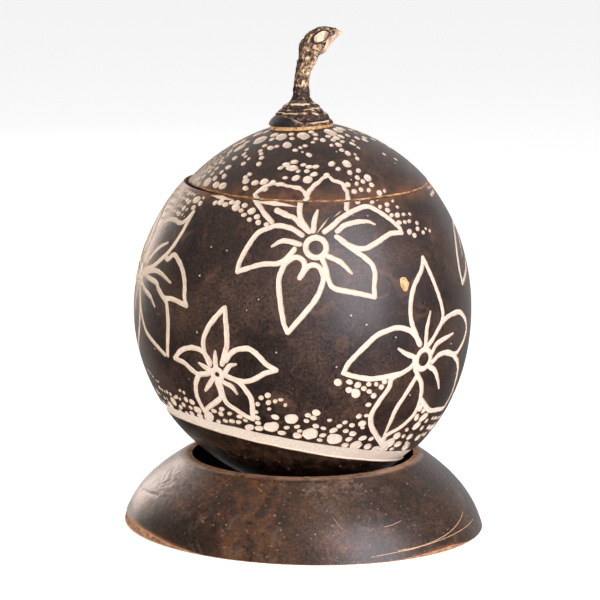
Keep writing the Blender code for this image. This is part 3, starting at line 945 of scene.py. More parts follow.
# The skin: gourd rind stained nearly black and rubbed with wax. The stain took unevenly, so it is mottled
# brown and black, a little redder by the seam, and it shines softly. Under the band it is painted near black
# as shade, with real rusty blotches and pale specks in it.
skin, tree, shader = new_material("gourd_skin_stained_waxed")
place = in_millimetres(tree)
height = add(tree, "ShaderNodeSeparateXYZ", {0: place}).outputs[2]
clouds = patches(tree, place, 26.0, 0.34, 0.66, detail=4.0, rough=0.55, warp=0.6)
stain = add(tree, "ShaderNodeValToRGB", {0: clouds}, ((0.0, "#352720"), (0.5, "#46342b"), (1.0, "#5d4537")))
grain = patches(tree, place, 0.9, 0.35, 0.65, detail=4.0, rough=0.75)
inputs = {0: grain, 6: linear("#5e5551"), 7: linear("#ffffff")}
grained = add(tree, "ShaderNodeMix", inputs, data_type="RGBA").outputs[2]
inputs = {0: 1.0, 6: stain.outputs[0], 7: grained}
colour = add(tree, "ShaderNodeMix", inputs, data_type="RGBA", blend_type="MULTIPLY").outputs[2]
rubbed = patches(tree, place, 9.0, 0.54, 0.74, detail=6.0, rough=0.75, warp=0.8)
half_rubbed = add(tree, "ShaderNodeMath", {0: rubbed, 1: 0.6}, operation="MULTIPLY").outputs[0]
colour = add(tree, "ShaderNodeMix", {0: half_rubbed, 6: colour, 7: linear("#7a5640")}, data_type="RGBA").outputs[2]
reddish = patches(tree, place, 17.0, 0.62, 0.78, detail=5.0, rough=0.7, warp=1.0)
colour = add(tree, "ShaderNodeMix", {0: reddish, 6: colour, 7: linear("#633829")}, data_type="RGBA").outputs[2]
# Above nought under the band, from BAND_FALL and BAND_HEIGHT: there painted shade turns the skin near black,
# with real blotches and specks in it
slant = (-BAND_FALL[0], -BAND_FALL[1], 1.0)
level = add(tree, "ShaderNodeVectorMath", {0: place, 1: slant}, operation="DOT_PRODUCT").outputs["Value"]
inputs = {"Value": level, "From Min": BAND_HEIGHT, "From Max": BAND_HEIGHT - 3.0}
under = add(tree, "ShaderNodeMapRange", inputs).outputs[0]
blotches = patches(tree, place, 3.6, 0.44, 0.7, detail=5.0, rough=0.7)
inputs = {0: blotches, 6: linear("#0e0704"), 7: linear("#432c1b")}
shade_with_blotches = add(tree, "ShaderNodeMix", inputs, data_type="RGBA").outputs[2]
for apart, wide, share, shade in ((3.0, 0.5, 0.5, "#8a5c3c"), (4.4, 0.45, 0.5, "#b9a08c")):
    spots = specks(tree, place, apart, wide, share)
    shade_with_blotches = add(tree, "ShaderNodeMix", {0: spots, 6: shade_with_blotches, 7: linear(shade)}, data_type="RGBA").outputs[2]
# The painted shade under the band, with its real blotches and specks, laid over the skin
inputs = {0: under, 6: colour, 7: shade_with_blotches}
colour = add(tree, "ShaderNodeMix", inputs, data_type="RGBA").outputs[2]
# By the sawn edge the stain is worn back to rust brown
from_edge = add(tree, "ShaderNodeMath", {0: height, 1: SAW_HEIGHT}, operation="SUBTRACT").outputs[0]
from_edge = add(tree, "ShaderNodeMath", {0: from_edge}, operation="ABSOLUTE").outputs[0]
worn = add(tree, "ShaderNodeMapRange", {"Value": from_edge, "From Min": 5.0, "From Max": 0.8}).outputs[0]
wear = patches(tree, place, 5.0, 0.35, 0.6, detail=4.0, rough=0.65)
worn = add(tree, "ShaderNodeMath", {0: worn, 1: wear}, operation="MULTIPLY").outputs[0]
worn = add(tree, "ShaderNodeMath", {0: worn, 1: 0.75}, operation="MULTIPLY").outputs[0]
colour = add(tree, "ShaderNodeMix", {0: worn, 6: colour, 7: linear("#7c4f33")}, data_type="RGBA").outputs[2]
dark = specks(tree, place, 5.6, 1.1, 0.6)
colour = add(tree, "ShaderNodeMix", {0: dark, 6: colour, 7: linear("#1f1511")}, data_type="RGBA").outputs[2]
pale = specks(tree, place, 5.6, 0.5, 0.45)
colour = add(tree, "ShaderNodeMix", {0: pale, 6: colour, 7: linear("#cdb9a8")}, data_type="RGBA").outputs[2]
tree.links.new(colour, shader.inputs["Base Color"])
dull = patches(tree, place, 1.4, 0.3, 0.7, detail=6.0, rough=0.8)
roughness = add(tree, "ShaderNodeMapRange", {"Value": dull, "To Min": 0.24, "To Max": 0.58}).outputs[0]
tree.links.new(roughness, shader.inputs["Roughness"])
shader.inputs["IOR"].default_value = 1.5
shader.inputs["Coat Weight"].default_value = 0.6
shader.inputs["Coat Roughness"].default_value = 0.28
inputs = {"Strength": 0.9, "Distance": 0.11 * MM, "Height": dull}
fine = add(tree, "ShaderNodeBump", inputs).outputs[0]
inputs = {"Strength": 0.6, "Distance": 0.25 * MM, "Height": dark, "Normal": fine}
pitted = add(tree, "ShaderNodeBump", inputs, invert=True).outputs[0]
tree.links.new(pitted, shader.inputs["Normal"])

# The flesh: the pale, dry wall under the skin, laid bare by the gouge. It is cream and slightly furry on
# the floor of a cut, and golden where the gouge leaves through the hard layer at the edge.
flesh, tree, shader = new_material("gourd_flesh_gouged")
place = in_millimetres(tree)
deep = add(tree, "ShaderNodeAttribute", attribute_name="cut_share").outputs["Fac"]
fibres = patches(tree, place, 0.7, 0.3, 0.7, detail=4.0, rough=0.7)
inputs = {0: fibres, 6: linear("#d3c0ab"), 7: linear("#ecdfd0")}
cream = add(tree, "ShaderNodeMix", inputs, data_type="RGBA").outputs[2]
smudge = patches(tree, place, 6.0, 0.6, 0.78, detail=4.0, rough=0.7)
smudge = add(tree, "ShaderNodeMath", {0: smudge, 1: 0.6}, operation="MULTIPLY").outputs[0]
cream = add(tree, "ShaderNodeMix", {0: smudge, 6: cream, 7: linear("#cba68c")}, data_type="RGBA").outputs[2]
edge = add(tree, "ShaderNodeMapRange", {"Value": deep, "From Min": 0.45, "From Max": 0.05}).outputs[0]
colour = add(tree, "ShaderNodeMix", {0: edge, 6: cream, 7: linear("#b08e6a")}, data_type="RGBA").outputs[2]
tree.links.new(colour, shader.inputs["Base Color"])
shader.inputs["Roughness"].default_value = 0.82
shader.inputs["IOR"].default_value = 1.4
furry = add(tree, "ShaderNodeBump", {"Strength": 0.8, "Distance": 0.12 * MM, "Height": fibres}).outputs[0]
tree.links.new(furry, shader.inputs["Normal"])

# The rind: the sawn edge of the shell, rust brown to tan with saw marks, and black with wax and dust
# where the cut goes in.
rind, tree, shader = new_material("gourd_rind_sawn")
place = in_millimetres(tree)
streaks = patches(tree, place, 2.4, 0.35, 0.65, detail=4.0, rough=0.65, stretch=(1, 1, 3))
shades = ((0.0, "#6b4526"), (0.45, "#9b6c41"), (1.0, "#d3a873"))
sawn = add(tree, "ShaderNodeValToRGB", {0: streaks}, shades)
behind = add(tree, "ShaderNodeAttribute", attribute_name="cut_share").outputs["Fac"]
behind = add(tree, "ShaderNodeMapRange", {"Value": behind, "From Min": 0.35, "From Max": 0.7}).outputs[0]
inputs = {0: behind, 6: sawn.outputs[0], 7: linear("#24160d")}
colour = add(tree, "ShaderNodeMix", inputs, data_type="RGBA").outputs[2]
tree.links.new(colour, shader.inputs["Base Color"])
shader.inputs["Roughness"].default_value = 0.72
grooves = patches(tree, place, 0.5, 0.2, 0.8, detail=3.0)
rough_cut = add(tree, "ShaderNodeBump", {"Strength": 0.7, "Distance": 0.15 * MM, "Height": grooves}).outputs[0]
tree.links.new(rough_cut, shader.inputs["Normal"])

# The inside: scraped clean of pulp, dull and fibrous, with darker rings where the scraper skipped.
inside, tree, shader = new_material("gourd_inside_scraped")
place = in_millimetres(tree)
rings = patches(tree, place, 7.0, 0.3, 0.7, detail=5.0, rough=0.65, stretch=(1, 1, 2.5))
scraped = add(tree, "ShaderNodeValToRGB", {0: rings}, ((0.0, "#7a5c3c"), (0.5, "#a07d56"), (1.0, "#c2a27a")))
tree.links.new(scraped.outputs[0], shader.inputs["Base Color"])
shader.inputs["Roughness"].default_value = 0.88
strands = patches(tree, place, 1.2, 0.25, 0.75, detail=4.0, rough=0.7)
fibrous = add(tree, "ShaderNodeBump", {"Strength": 0.8, "Distance": 0.2 * MM, "Height": strands}).outputs[0]
tree.links.new(fibrous, shader.inputs["Normal"])

# The hard golden layer just under the skin, bared by the chips at the rim and by a ring round the stem.
pared_gold, tree, shader = new_material("rind_pared_golden")
place = in_millimetres(tree)
gold = patches(tree, place, 1.5, 0.34, 0.68, detail=4.0, rough=0.7)
shades = ((0.0, "#6e4526"), (0.3, "#cb9a62"), (1.0, "#efcf9e"))
golden = add(tree, "ShaderNodeValToRGB", {0: gold}, shades)
tree.links.new(golden.outputs[0], shader.inputs["Base Color"])
shader.inputs["Roughness"].default_value = 0.6
nicks = add(tree, "ShaderNodeBump", {"Strength": 0.6, "Distance": 0.15 * MM, "Height": gold}).outputs[0]
tree.links.new(nicks, shader.inputs["Normal"])
for material in (skin, flesh, rind, inside, pared_gold):
    bowl.data.materials.append(material)
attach(bowl, "root")
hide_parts("gourd_bowl")

lid_cuts = [cut for cut in flower_cuts + pebble_cuts if cut.outline[:, 2].max() > 0.66]
LID_RIM = ((0.0, 0.75), (0.3, 0.0), (1.2, 0.0), (2.1, 0.0), (3.0, 0.0), (3.45, 0.0), (3.6, 0.3))
lid = make_shell("gourd_lid_carved", LID, lid_cuts, LID_RIM, 10)
for material in (skin, flesh, rind, inside, pared_gold):
    lid.data.materials.append(material)
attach(lid, "root")
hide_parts("gourd_lid")

# The stem
# The woody stalk that the gourd hung by, grown fast to the crown: a flared foot in three knotted tiers, a
# rough neck and a bent club, cut from the vine with a knife. Round its foot the rind is pared to gold.
STEM_AT = -0.4
STEM_PLACES = 180
STEM_EDGE = 12.4
STEM_FLARE = (
    (154.0, 12.6),
    (156.3, 12.0),
    (157.6, 11.1),
    (158.4, 10.3),
    (159.6, 9.5),
    (160.4, 8.7),
    (161.4, 7.5),
    (162.4, 7.0),
    (163.2, 6.0),
    (163.9, 5.0),
    (164.9, 4.2),
    (166.8, 3.2),
)
# The ledges of the tiers, from the lowest up, as (degrees to the right of the front, height)
LEDGES = (
    ((-150, 158.6), (-90, 159.5), (-48, 160.2), (-24, 159.8), (-2, 157.9), (45, 157.9), (90, 158.1), (150, 158.4)),
    ((-150, 160.6), (-90, 160.5), (-30, 161.0), (-10, 161.1), (30, 161.4), (90, 160.5), (150, 160.8)),
    ((-150, 162.2), (-90, 161.7), (-10, 162.3), (45, 162.8), (90, 162.6), (150, 162.5)),
    ((-150, 164.3), (-90, 164.0), (0, 164.3), (90, 164.1), (150, 164.5)),
)
# Where each tier's ledge is rubbed pale: its middle, and how far to each side of it
RUBBED_AT = ((45, 26), (-48, 34), (62, 16), (-15, 32))
TIER_ROWS = 12
TIER_SWELL = 0.5
LEDGE_CUT = 0.3
PARED_HIGH = 0.85
PARED_FRONT = 0.45
PARED_FRONT_AT = -32.0
NECK = (
    (-0.4, 166.8, 3.2, 3.2),
    (-0.3, 172.4, 2.8, 3.0),
    (0.45, 177.0, 3.0, 3.2),
    (2.0, 181.1, 3.5, 3.6),
    (3.2, 184.9, 4.5, 4.4),
    (5.7, 187.4, 4.9, 4.7),
    (8.8, 189.6, 3.9, 4.0),
    (12.0, 190.6, 2.3, 2.5),
    (13.5, 190.7, 1.3, 1.4),
    (15.2, 190.9, 0.45, 0.5),
)
NECK_STEP = 0.33
HEAD_TOP = 193.4
KNOT = 0.95
BARK_DRAWN = 0.95
KNOT_HIGH = 0.27
DARK_NECK = 170.5
# The knife's two cuts on the head: an oval in front, and a strip along the underside to the tip
SCAR_AT = np.array([7.0, -3.9, 189.7])
SCAR_FACES = normalised(np.array([0.02, -0.94, 0.34]))
# How far round to the front the strip comes, in degrees, at places along the head
STRIP_FRONT = ((3.2, 0), (4.2, -35), (6.5, -52), (10.0, -78), (12.4, -84), (12.8, -150))
STRIP_BEHIND = 35
BARK, CUT_WOOD, PARED = range(3)


def rows_mesh(name, rows, finishes, wraps, marks):
    """A closed mesh from loops of points: the last joins the first, or else a point closes each end."""
    count, places = rows.shape[:2]
    points = rows.reshape(-1, 3)
    marks = {mark: values.reshape(-1) for mark, values in marks.items()}
    faces = []
    face_finishes = []
    for row in range(count if wraps else count - 1):
        above = (row + 1) % count * places
        for place in range(places):
            beside = (place + 1) % places
            faces.append((row * places + place, row * places + beside, above + beside, above + place))
            face_finishes.append(int(finishes[row, place]))
    if not wraps:
        for row, order in ((0, -1), (count - 1, 1)):
            middle = len(points)
            points = np.vstack([points, rows[row].mean(axis=0)])
            marks = {mark: np.append(values, values[row * places]) for mark, values in marks.items()}
            for place in range(places):
                face = (row * places + place, row * places + (place + 1) % places, middle)
                faces.append(face[::order])
                face_finishes.append(int(finishes[row, place]))
    return finished_mesh(name, points, faces, face_finishes, marks)


def lid_top(x, y):
    """Heights of the lid's skin over places beside its middle."""
    out = np.hypot(x - LID.slid[0], y)
    turn = np.degrees(np.arctan2(y, x - LID.slid[0])) + 90

    def is_outside(drop):
        way = unit(turn, drop)
        return (reach(way) - LID.set_in) * np.hypot(way[..., 0], way[..., 1]) > out

    return LID.points(unit(turn, crossing(0 * out, 0 * out + 40, is_outside)))[..., 2]


def ledge_line(stations):
    """The height of one ledge at each place round the foot, with its corners rounded."""
    turn, height = np.array(stations, float).T
    line = np.interp(stem_turn, turn, height, period=360)
    line = np.mean([np.roll(line, shift) for shift in range(-5, 6)], axis=0)
    return line + 0.3 * ragged(8 * stem_ways, 2.0, round(10 * height[0]))


stem_turn = np.linspace(-180, 180, STEM_PLACES, endpoint=False)
stem_ways = unit(stem_turn, 90.0)
stem_rows = []
stem_bark_tone_and_shade = []
stem_slate = []
stem_finishes = []


def stem_row(points, finish, high=0.0, slate=0.0):
    stem_rows.append(points)
    stem_finishes.append(np.full(STEM_PLACES, finish))
    stem_bark_tone_and_shade.append(np.zeros(STEM_PLACES) + high)
    stem_slate.append(np.zeros(STEM_PLACES) + slate)


def round_the_foot(radius, height):
    centre = np.array([STEM_AT, 0.0, 0.0])
    ring = centre + stem_ways * np.reshape(radius, (-1, 1))
    ring[:, 2] = height
    return ring


def knots(points):
    """The roughness of the bark at points, drawn out upwards, between about -1 and 1."""
    drawn = points * np.array([1.0, 1.0, BARK_DRAWN])
    coarse = 1.2 * ragged(drawn, 1.9 * KNOT, 13) + 1.2 * ragged(drawn, KNOT, 11)
    return coarse + 1.0 * ragged(drawn, 0.45 * KNOT, 12)


for radius in (4.0, 8.0, 11.0):
    ring = round_the_foot(radius, 0.0)
    ring[:, 2] = lid_top(ring[:, 0], ring[:, 1]) - FIT_GAP
    stem_row(ring, PARED)
ring = round_the_foot(STEM_EDGE, 0.0)
seat = lid_top(ring[:, 0], ring[:, 1]) - 0.1
pared_top = seat + PARED_HIGH + PARED_FRONT * np.cos(np.radians(stem_turn - PARED_FRONT_AT))
for share in (0.0, 0.25, 0.55, 0.85):
    height = seat + (pared_top - seat) * share
    radius = STEM_EDGE + 0.4 - 1.1 * share**0.6 + 0.12 * ragged(ring, 1.2, 14 + share)
    stem_row(round_the_foot(radius, height), PARED)
lines = [pared_top] + [ledge_line(stations) for stations in LEDGES]
flare_height, flare_radius = np.array(STEM_FLARE).T
for tier, (low, high) in enumerate(zip(lines, lines[1:])):
    for step in range(TIER_ROWS):
        share = step / TIER_ROWS
        height = low + (high - low) * share
        lobe = np.clip(1.9 - np.abs(stem_turn + 52) / 32, 0, 1) if tier == 0 else 0.0
        swell = TIER_SWELL * (1 + 0.5 * lobe) * math.sin(math.pi * share) ** 0.6 - LEDGE_CUT * (share == 0)
        swell = swell + 0.35 * ragged(round_the_foot(6.0, 3.0 * tier), 3.5, 15)
        ring = round_the_foot(np.interp(height, flare_height, flare_radius) + swell, height)
        rough = knots(ring)
        ring[:, :2] += stem_ways[:, :2] * (KNOT_HIGH * rough * (1 - 0.9 * lobe) * 0.75)[:, None]
        at, wide = RUBBED_AT[tier]
        worn = 0.3 + 1.1 * np.exp(-(((stem_turn - at) / wide) ** 4)) + 0.9 * ragged(ring, 2.2, 16 + tier)
        lip = 1.6 * worn if share > 0.7 else -1.2 if share == 0 else -0.5
        stem_row(ring, BARK, rough + lip * (1 - 0.3 * lobe), lobe * (0 < share < 0.85))
for height in np.linspace(164.4, 166.5, 7):
    level = np.maximum(height, lines[-1] + 0.1 * (height - 164.4))
    ring = round_the_foot(np.interp(level, flare_height, flare_radius), level)
    rough = knots(ring)
    ring[:, :2] += stem_ways[:, :2] * (KNOT_HIGH * rough)[:, None]
    stem_row(ring, BARK, rough - 0.4)
neck_line = smooth(np.array(NECK), NECK_STEP)
ahead = normalised(np.gradient(neck_line[:, :2], axis=0))
lying = np.radians(stem_turn - 90)
for (x, z, wide, deep), (right, up) in zip(neck_line, ahead):
    across = np.array([up, 0.0, -right])
    out = across * np.cos(lying)[:, None] * wide
    out[:, 1] = np.sin(lying) * deep
    ring = np.array([x, 0.0, z]) + out
    rough = knots(ring)
    front = np.interp(x, *np.array(STRIP_FRONT).T)
    strip = (x > STRIP_FRONT[0][0]) & (stem_turn - 90 > front) & (stem_turn - 90 < STRIP_BEHIND)
    fade = min(1.0, wide / 3.0)
    beyond = (ring - SCAR_AT) @ SCAR_FACES
    scarred = (beyond > 0) & ~strip
    sliced = strip | scarred
    ring += normalised(out) * (KNOT_HIGH * fade * np.where(sliced, 0.0, rough))[:, None]
    hollow = np.minimum(0.35, 0.25 * beyond)
    ring -= np.where(scarred, beyond + hollow, 0.0)[:, None] * SCAR_FACES
    ring[:, 2] = np.minimum(ring[:, 2], HEAD_TOP)
    # Black bark round the oval, with a cream line outside its left; the side away from the light is darker with
    # painted shade
    brow = (0.8 + 0.4 * rough) * np.exp(-((beyond + 0.12) / 0.14) ** 2) * (x > 3.5) * (x < 11.5)
    pale_line = np.exp(-((beyond + 0.62) / 0.22) ** 2) * (x < 8.5) * (ring[:, 2] > 187.6)
    away = np.clip(-np.cos(lying) - 0.2, 0, 1)
    high = rough - 1.6 * brow + 1.2 * pale_line - 0.9 * away + 0.35 * (z > DARK_NECK) - 0.5 * (z < DARK_NECK)
    stem_row(ring, BARK, np.where(scarred, 0.2, high))
    stem_finishes[-1][sliced] = CUT_WOOD
stem_marks = {"bark_tone_and_shade": np.array(stem_bark_tone_and_shade), "slate": np.array(stem_slate)}
stem = rows_mesh("gourd_stem_bark", np.array(stem_rows), np.array(stem_finishes), False, stem_marks)

# Dry bark: dark in its furrows and rubbed to cream on its knots, with one smooth lobe as dark as slate. The
# neck's side away from the light is darker with painted shade.
bark, tree, shader = new_material("stalk_bark_dried")
place = in_millimetres(tree)
high = add(tree, "ShaderNodeAttribute", attribute_name="bark_tone_and_shade").outputs["Fac"]
flecks = patches(tree, place, 0.5, 0.2, 0.8, detail=5.0, rough=0.8)
high = add(tree, "ShaderNodeMath", {0: flecks, 1: 1.7, 2: high}, operation="MULTIPLY_ADD").outputs[0]
high = add(tree, "ShaderNodeMapRange", {"Value": high, "From Min": -0.6, "From Max": 2.3}).outputs[0]
shades = ((0.0, "#1f1612"), (0.34, "#43322a"), (0.56, "#745b49"), (0.76, "#b8966f"), (1.0, "#f0dbb8"))
woody = add(tree, "ShaderNodeValToRGB", {0: high}, shades)
slate = add(tree, "ShaderNodeAttribute", attribute_name="slate").outputs["Fac"]
inputs = {0: slate, 6: woody.outputs[0], 7: linear("#262229")}
colour = add(tree, "ShaderNodeMix", inputs, data_type="RGBA").outputs[2]
tree.links.new(colour, shader.inputs["Base Color"])
roughness = add(tree, "ShaderNodeMapRange", {"Value": slate, "To Min": 0.78, "To Max": 0.42}).outputs[0]
tree.links.new(roughness, shader.inputs["Roughness"])
rough_bark = add(tree, "ShaderNodeBump", {"Strength": 0.7, "Distance": 0.2 * MM, "Height": flecks}).outputs[0]
tree.links.new(rough_bark, shader.inputs["Normal"])

# Wood bared by the knife: cream, drying to pinkish grey, with the grain running along the cut.
cut_wood, tree, shader = new_material("stalk_wood_knife_cut")
place = in_millimetres(tree)
dried = patches(tree, place, 3.2, 0.35, 0.65, detail=3.0, warp=0.5, stretch=(1.4, 1, 0.8))
grain = add(tree, "ShaderNodeValToRGB", {0: dried}, ((0.0, "#9d7a69"), (0.4, "#cfae94"), (1.0, "#eedbb9")))
tree.links.new(grain.outputs[0], shader.inputs["Base Color"])
shader.inputs["Roughness"].default_value = 0.6
pores = patches(tree, place, 0.5, 0.2, 0.8, detail=3.0)
sliced_grain = add(tree, "ShaderNodeBump", {"Strength": 0.5, "Distance": 0.08 * MM, "Height": pores}).outputs[0]
tree.links.new(sliced_grain, shader.inputs["Normal"])

for material in (bark, cut_wood, pared_gold):
    stem.data.materials.append(material)
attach(stem, "root")
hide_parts("gourd_stem")

# The ring stand
# A collar sawn from the shoulder of a second, bigger gourd. Its skin is waxed and weathered, its lip and
# foot show the sawn shell, and the bowl leans on its lip at the back right.
STAND_HIGH = 28.0
STAND_FOOT = 70.1
STAND_OVAL = 3.3
STAND_OVAL_AT = math.radians(-48)
FOOT_WALL = 3.6
LIP_WALL = 3.5
LIP_CLEAR = 3.6
LIP_TOUCH_AT = math.radians(41)
STAND_SWELL = 3.6
STAND_LOW = 0.24
STAND_PLACES = 540
STAND_ROWS = 62
STAND_INNER_ROWS = 20
# Where the skin ends above the foot, as (degrees to the right of the front, height of the pared edge)
PARED_FOOT = (
    (-180, 0.4),
    (-140, 1.2),
    (-105, 2.6),
    (-73, 2.8),
    (-60, 2.2),
    (-48, 1.1),
    (-34, 0.3),
    (0, 0.25),
    (28, 0.3),
    (41, 0.9),
    (51, 1.1),
    (60, 0.4),
    (75, 0.25),
    (120, 0.4),
)
# The lip's outer edge is rolled over: (share up the wall, share inward through it)
LIP_ROLL = ((0.972, 0.008), (0.986, 0.03), (0.995, 0.08), (1.0, 0.16), (1.0, 0.38), (1.0, 0.62), (1.0, 0.84), (0.998, 0.96))
LIP_SKIN_ROWS = 4
STAND_SKIN, STAND_CUT, STAND_INSIDE = range(3)
WRINKLES_AT = (-70.0, 21.0)
NICK = ((-84.0, 13.6), (-67.0, 15.4))


def foot_edge(turn):
    """Heights where the skin ends above the foot."""
    stations, height = np.array(PARED_FOOT).T
    return np.interp(turn, stations, height, period=360)


def stand_curve(foot, lip, t):
    """Radius and height at a share t of the way up the bellied wall from foot to lip."""
    chord = np.hypot(foot - lip, STAND_HIGH)
    swell = STAND_SWELL * 4 * t * (1 - t) * (1 + STAND_LOW * (1 - 2 * t))
    radius = foot + (lip - foot) * t + swell * STAND_HIGH / chord
    return radius, STAND_HIGH * t + swell * (foot - lip) / chord


def stand_ring(t, inward):
    """A loop of points at a share t up the wall and a share inward through it."""
    outer = stand_curve(foot_radius, lip_radius + LIP_WALL, t)
    inner = stand_curve(foot_radius - FOOT_WALL, lip_radius, t)
    radius, height = ((1 - inward) * a + inward * b for a, b in zip(outer, inner))
    return np.stack([radius * np.cos(stand_around), radius * np.sin(stand_around), height], -1)


def weathered(ring):
    """How deep each point of a ring on the skin lies under the plain form, worn, wrinkled or nicked."""
    depth = 0.12 + 0.12 * ragged(ring, 15.0, 21)
    high = ring[:, 2]
    from_wrinkles = np.hypot((stand_turn - WRINKLES_AT[0]) / 20, (high - WRINKLES_AT[1]) / 6)
    folds = np.abs(ragged(ring * np.array([0.55, 0.55, 1.3]), 2.2, 22)) ** 0.5
    depth = depth + 0.42 * np.clip(1.25 - from_wrinkles, 0, 1) * (1 - folds)
    (turn_a, high_a), (turn_b, high_b) = NICK
    along = np.clip((stand_turn - turn_a) / (turn_b - turn_a), 0, 1)
    beside = np.hypot(high - (high_a + (high_b - high_a) * along), (stand_turn - turn_a - along * (turn_b - turn_a)))
    return depth + 0.4 * np.exp(-((beside / 0.6) ** 2))


stand_turn = np.linspace(-180, 180, STAND_PLACES, endpoint=False)
stand_around = np.radians(stand_turn - 90)
at_lip = crossing(
    np.full(STAND_PLACES, 95.0),
    np.full(STAND_PLACES, 170.0),
    lambda drop: BOWL.points(unit(stand_turn, drop))[:, 2] < STAND_HIGH,
)
lip_radius = np.hypot(*BOWL.points(unit(stand_turn, at_lip))[:, :2].T) + FIT_GAP
lip_radius = lip_radius + LIP_CLEAR * (1 - np.cos(stand_around - LIP_TOUCH_AT))
foot_radius = STAND_FOOT + STAND_OVAL * np.cos(2 * (stand_around - STAND_OVAL_AT))
pared = foot_edge(stand_turn) / STAND_HIGH
stand_rows = []
stand_finishes = []
stand_edge = []


def stand_row(ring, finish, edge=0.0):
    """Keeps one loop of the stand. edge is how near it is to the line where skin and cut meet."""
    stand_rows.append(ring)
    stand_finishes.append(np.full(STAND_PLACES, finish))
    stand_edge.append(np.full(STAND_PLACES, edge))


for share, inward, edge in ((0.0, 0.14, 0.4), (0.12, 0.09, 1.0), (0.34, 0.085, 0.0), (0.66, 0.08, 0.0), (0.86, 0.06, 1.0)):
    stand_row(stand_ring(pared * share, inward), STAND_CUT, edge)
bared = np.clip((foot_edge(stand_turn) - 0.5) / 0.8, 0, 1)
inwards = np.stack([-np.cos(stand_around), -np.sin(stand_around), 0 * stand_around], -1)
for share in np.linspace(0, 1, STAND_ROWS):
    ring = stand_ring(pared + (0.955 - pared) * share, 0.0)
    ring = ring + inwards * (weathered(ring) * min(1.0, 12 * share + 0.1, 6 * (1 - share) + 0.1))[:, None]
    stand_row(ring, STAND_SKIN, max(0.0, 1 - 30 * share) * bared)
for number, (t, inward) in enumerate(LIP_ROLL):
    ring = stand_ring(t, inward)
    ring[:, 2] -= 0.1 * (1 + ragged(ring, 3.0, 24)) + 0.05 * ragged(ring, 0.9, 25)
    stand_row(ring, STAND_SKIN if number < LIP_SKIN_ROWS else STAND_CUT, 0.6 * (number == LIP_SKIN_ROWS))
for t in np.linspace(0.985, 0.015, STAND_INNER_ROWS):
    stand_row(stand_ring(t, 1.0), STAND_INSIDE)
for inward in (0.95, 0.5):
    stand_row(stand_ring(0.0, inward), STAND_CUT)
stand_marks = {"edge_near": np.array(stand_edge)}
stand = rows_mesh("ring_stand_gourd", np.array(stand_rows), np.array(stand_finishes), True, stand_marks)

# Its skin: the same hard rind, stained a warmer brown and handled more. Wax blooms grey on it, rusty
# specks show through, and two long scratches cross it at the front right.
stand_skin, tree, shader = new_material("stand_skin_stained_waxed")
place = in_millimetres(tree)
x, y, z = add(tree, "ShaderNodeSeparateXYZ", {0: place}).outputs
back = add(tree, "ShaderNodeMath", {0: y, 1: -1.0}, operation="MULTIPLY").outputs[0]
turn = add(tree, "ShaderNodeMath", {0: x, 1: back}, operation="ARCTAN2").outputs[0]
turn = add(tree, "ShaderNodeMath", {0: turn}, operation="DEGREES").outputs[0]
clouds = patches(tree, place, 22.0, 0.34, 0.66, detail=4.0, rough=0.6, warp=0.6)
stain = add(tree, "ShaderNodeValToRGB", {0: clouds}, ((0.0, "#2c1e16"), (0.5, "#442f21"), (1.0, "#5f4129")))
grain = patches(tree, place, 1.0, 0.33, 0.67, detail=4.0, rough=0.7)
inputs = {0: grain, 6: linear("#645a54"), 7: linear("#ffffff")}
grained = add(tree, "ShaderNodeMix", inputs, data_type="RGBA").outputs[2]
inputs = {0: 1.0, 6: stain.outputs[0], 7: grained}
colour = add(tree, "ShaderNodeMix", inputs, data_type="RGBA", blend_type="MULTIPLY").outputs[2]
bloom = patches(tree, place, 8.0, 0.54, 0.72, detail=5.0, rough=0.7, warp=0.7)
bloom = add(tree, "ShaderNodeMath", {0: bloom, 1: 0.5}, operation="MULTIPLY").outputs[0]
colour = add(tree, "ShaderNodeMix", {0: bloom, 6: colour, 7: linear("#76655a")}, data_type="RGBA").outputs[2]
rusty = patches(tree, place, 12.0, 0.5, 0.7, detail=3.0, rough=0.6, warp=0.8)
rust_grain = patches(tree, place, 1.8, 0.45, 0.6, detail=3.0, rough=0.6)
rusty = add(tree, "ShaderNodeMath", {0: rusty, 1: rust_grain}, operation="MULTIPLY").outputs[0]
rusty = add(tree, "ShaderNodeMath", {0: rusty, 1: 0.55}, operation="MULTIPLY").outputs[0]
colour = add(tree, "ShaderNodeMix", {0: rusty, 6: colour, 7: linear("#805238")}, data_type="RGBA").outputs[2]
# Rust comes through left of the middle
rust_turn = add(tree, "ShaderNodeMath", {0: turn, 1: 17.0}, operation="ADD").outputs[0]
rust_turn = add(tree, "ShaderNodeMath", {0: rust_turn}, operation="ABSOLUTE").outputs[0]
rust_turn = add(tree, "ShaderNodeMapRange", {"Value": rust_turn, "From Min": 20.0, "From Max": 4.0}).outputs[0]
rust_patch = patches(tree, place, 5.0, 0.4, 0.62, detail=5.0, rough=0.7)
for mask in (rust_turn, 0.4):
    rust_patch = add(tree, "ShaderNodeMath", {0: rust_patch, 1: mask}, operation="MULTIPLY").outputs[0]
colour = add(tree, "ShaderNodeMix", {0: rust_patch, 6: colour, 7: linear("#7d4f2c")}, data_type="RGBA").outputs[2]
# Grey-mauve dust lies on the left shoulder; its pale colour there is partly a painted highlight from the left light
dust_highlight_left = add(tree, "ShaderNodeMapRange", {"Value": turn, "From Min": -40.0, "From Max": -68.0}).outputs[0]
dust_highlight_high = add(tree, "ShaderNodeMapRange", {"Value": z, "From Min": 6.0, "From Max": 20.0}).outputs[0]
dust_and_highlight = patches(tree, place, 3.0, 0.3, 0.62, detail=5.0, rough=0.75)
dust_highlight_back = add(tree, "ShaderNodeMapRange", {"Value": turn, "From Min": -160.0, "From Max": -110.0}).outputs[0]
for mask in (dust_highlight_left, dust_highlight_high, dust_highlight_back, 0.62):
    dust_and_highlight = add(tree, "ShaderNodeMath", {0: dust_and_highlight, 1: mask}, operation="MULTIPLY").outputs[0]
colour = add(tree, "ShaderNodeMix", {0: dust_and_highlight, 6: colour, 7: linear("#a18e84")}, data_type="RGBA").outputs[2]
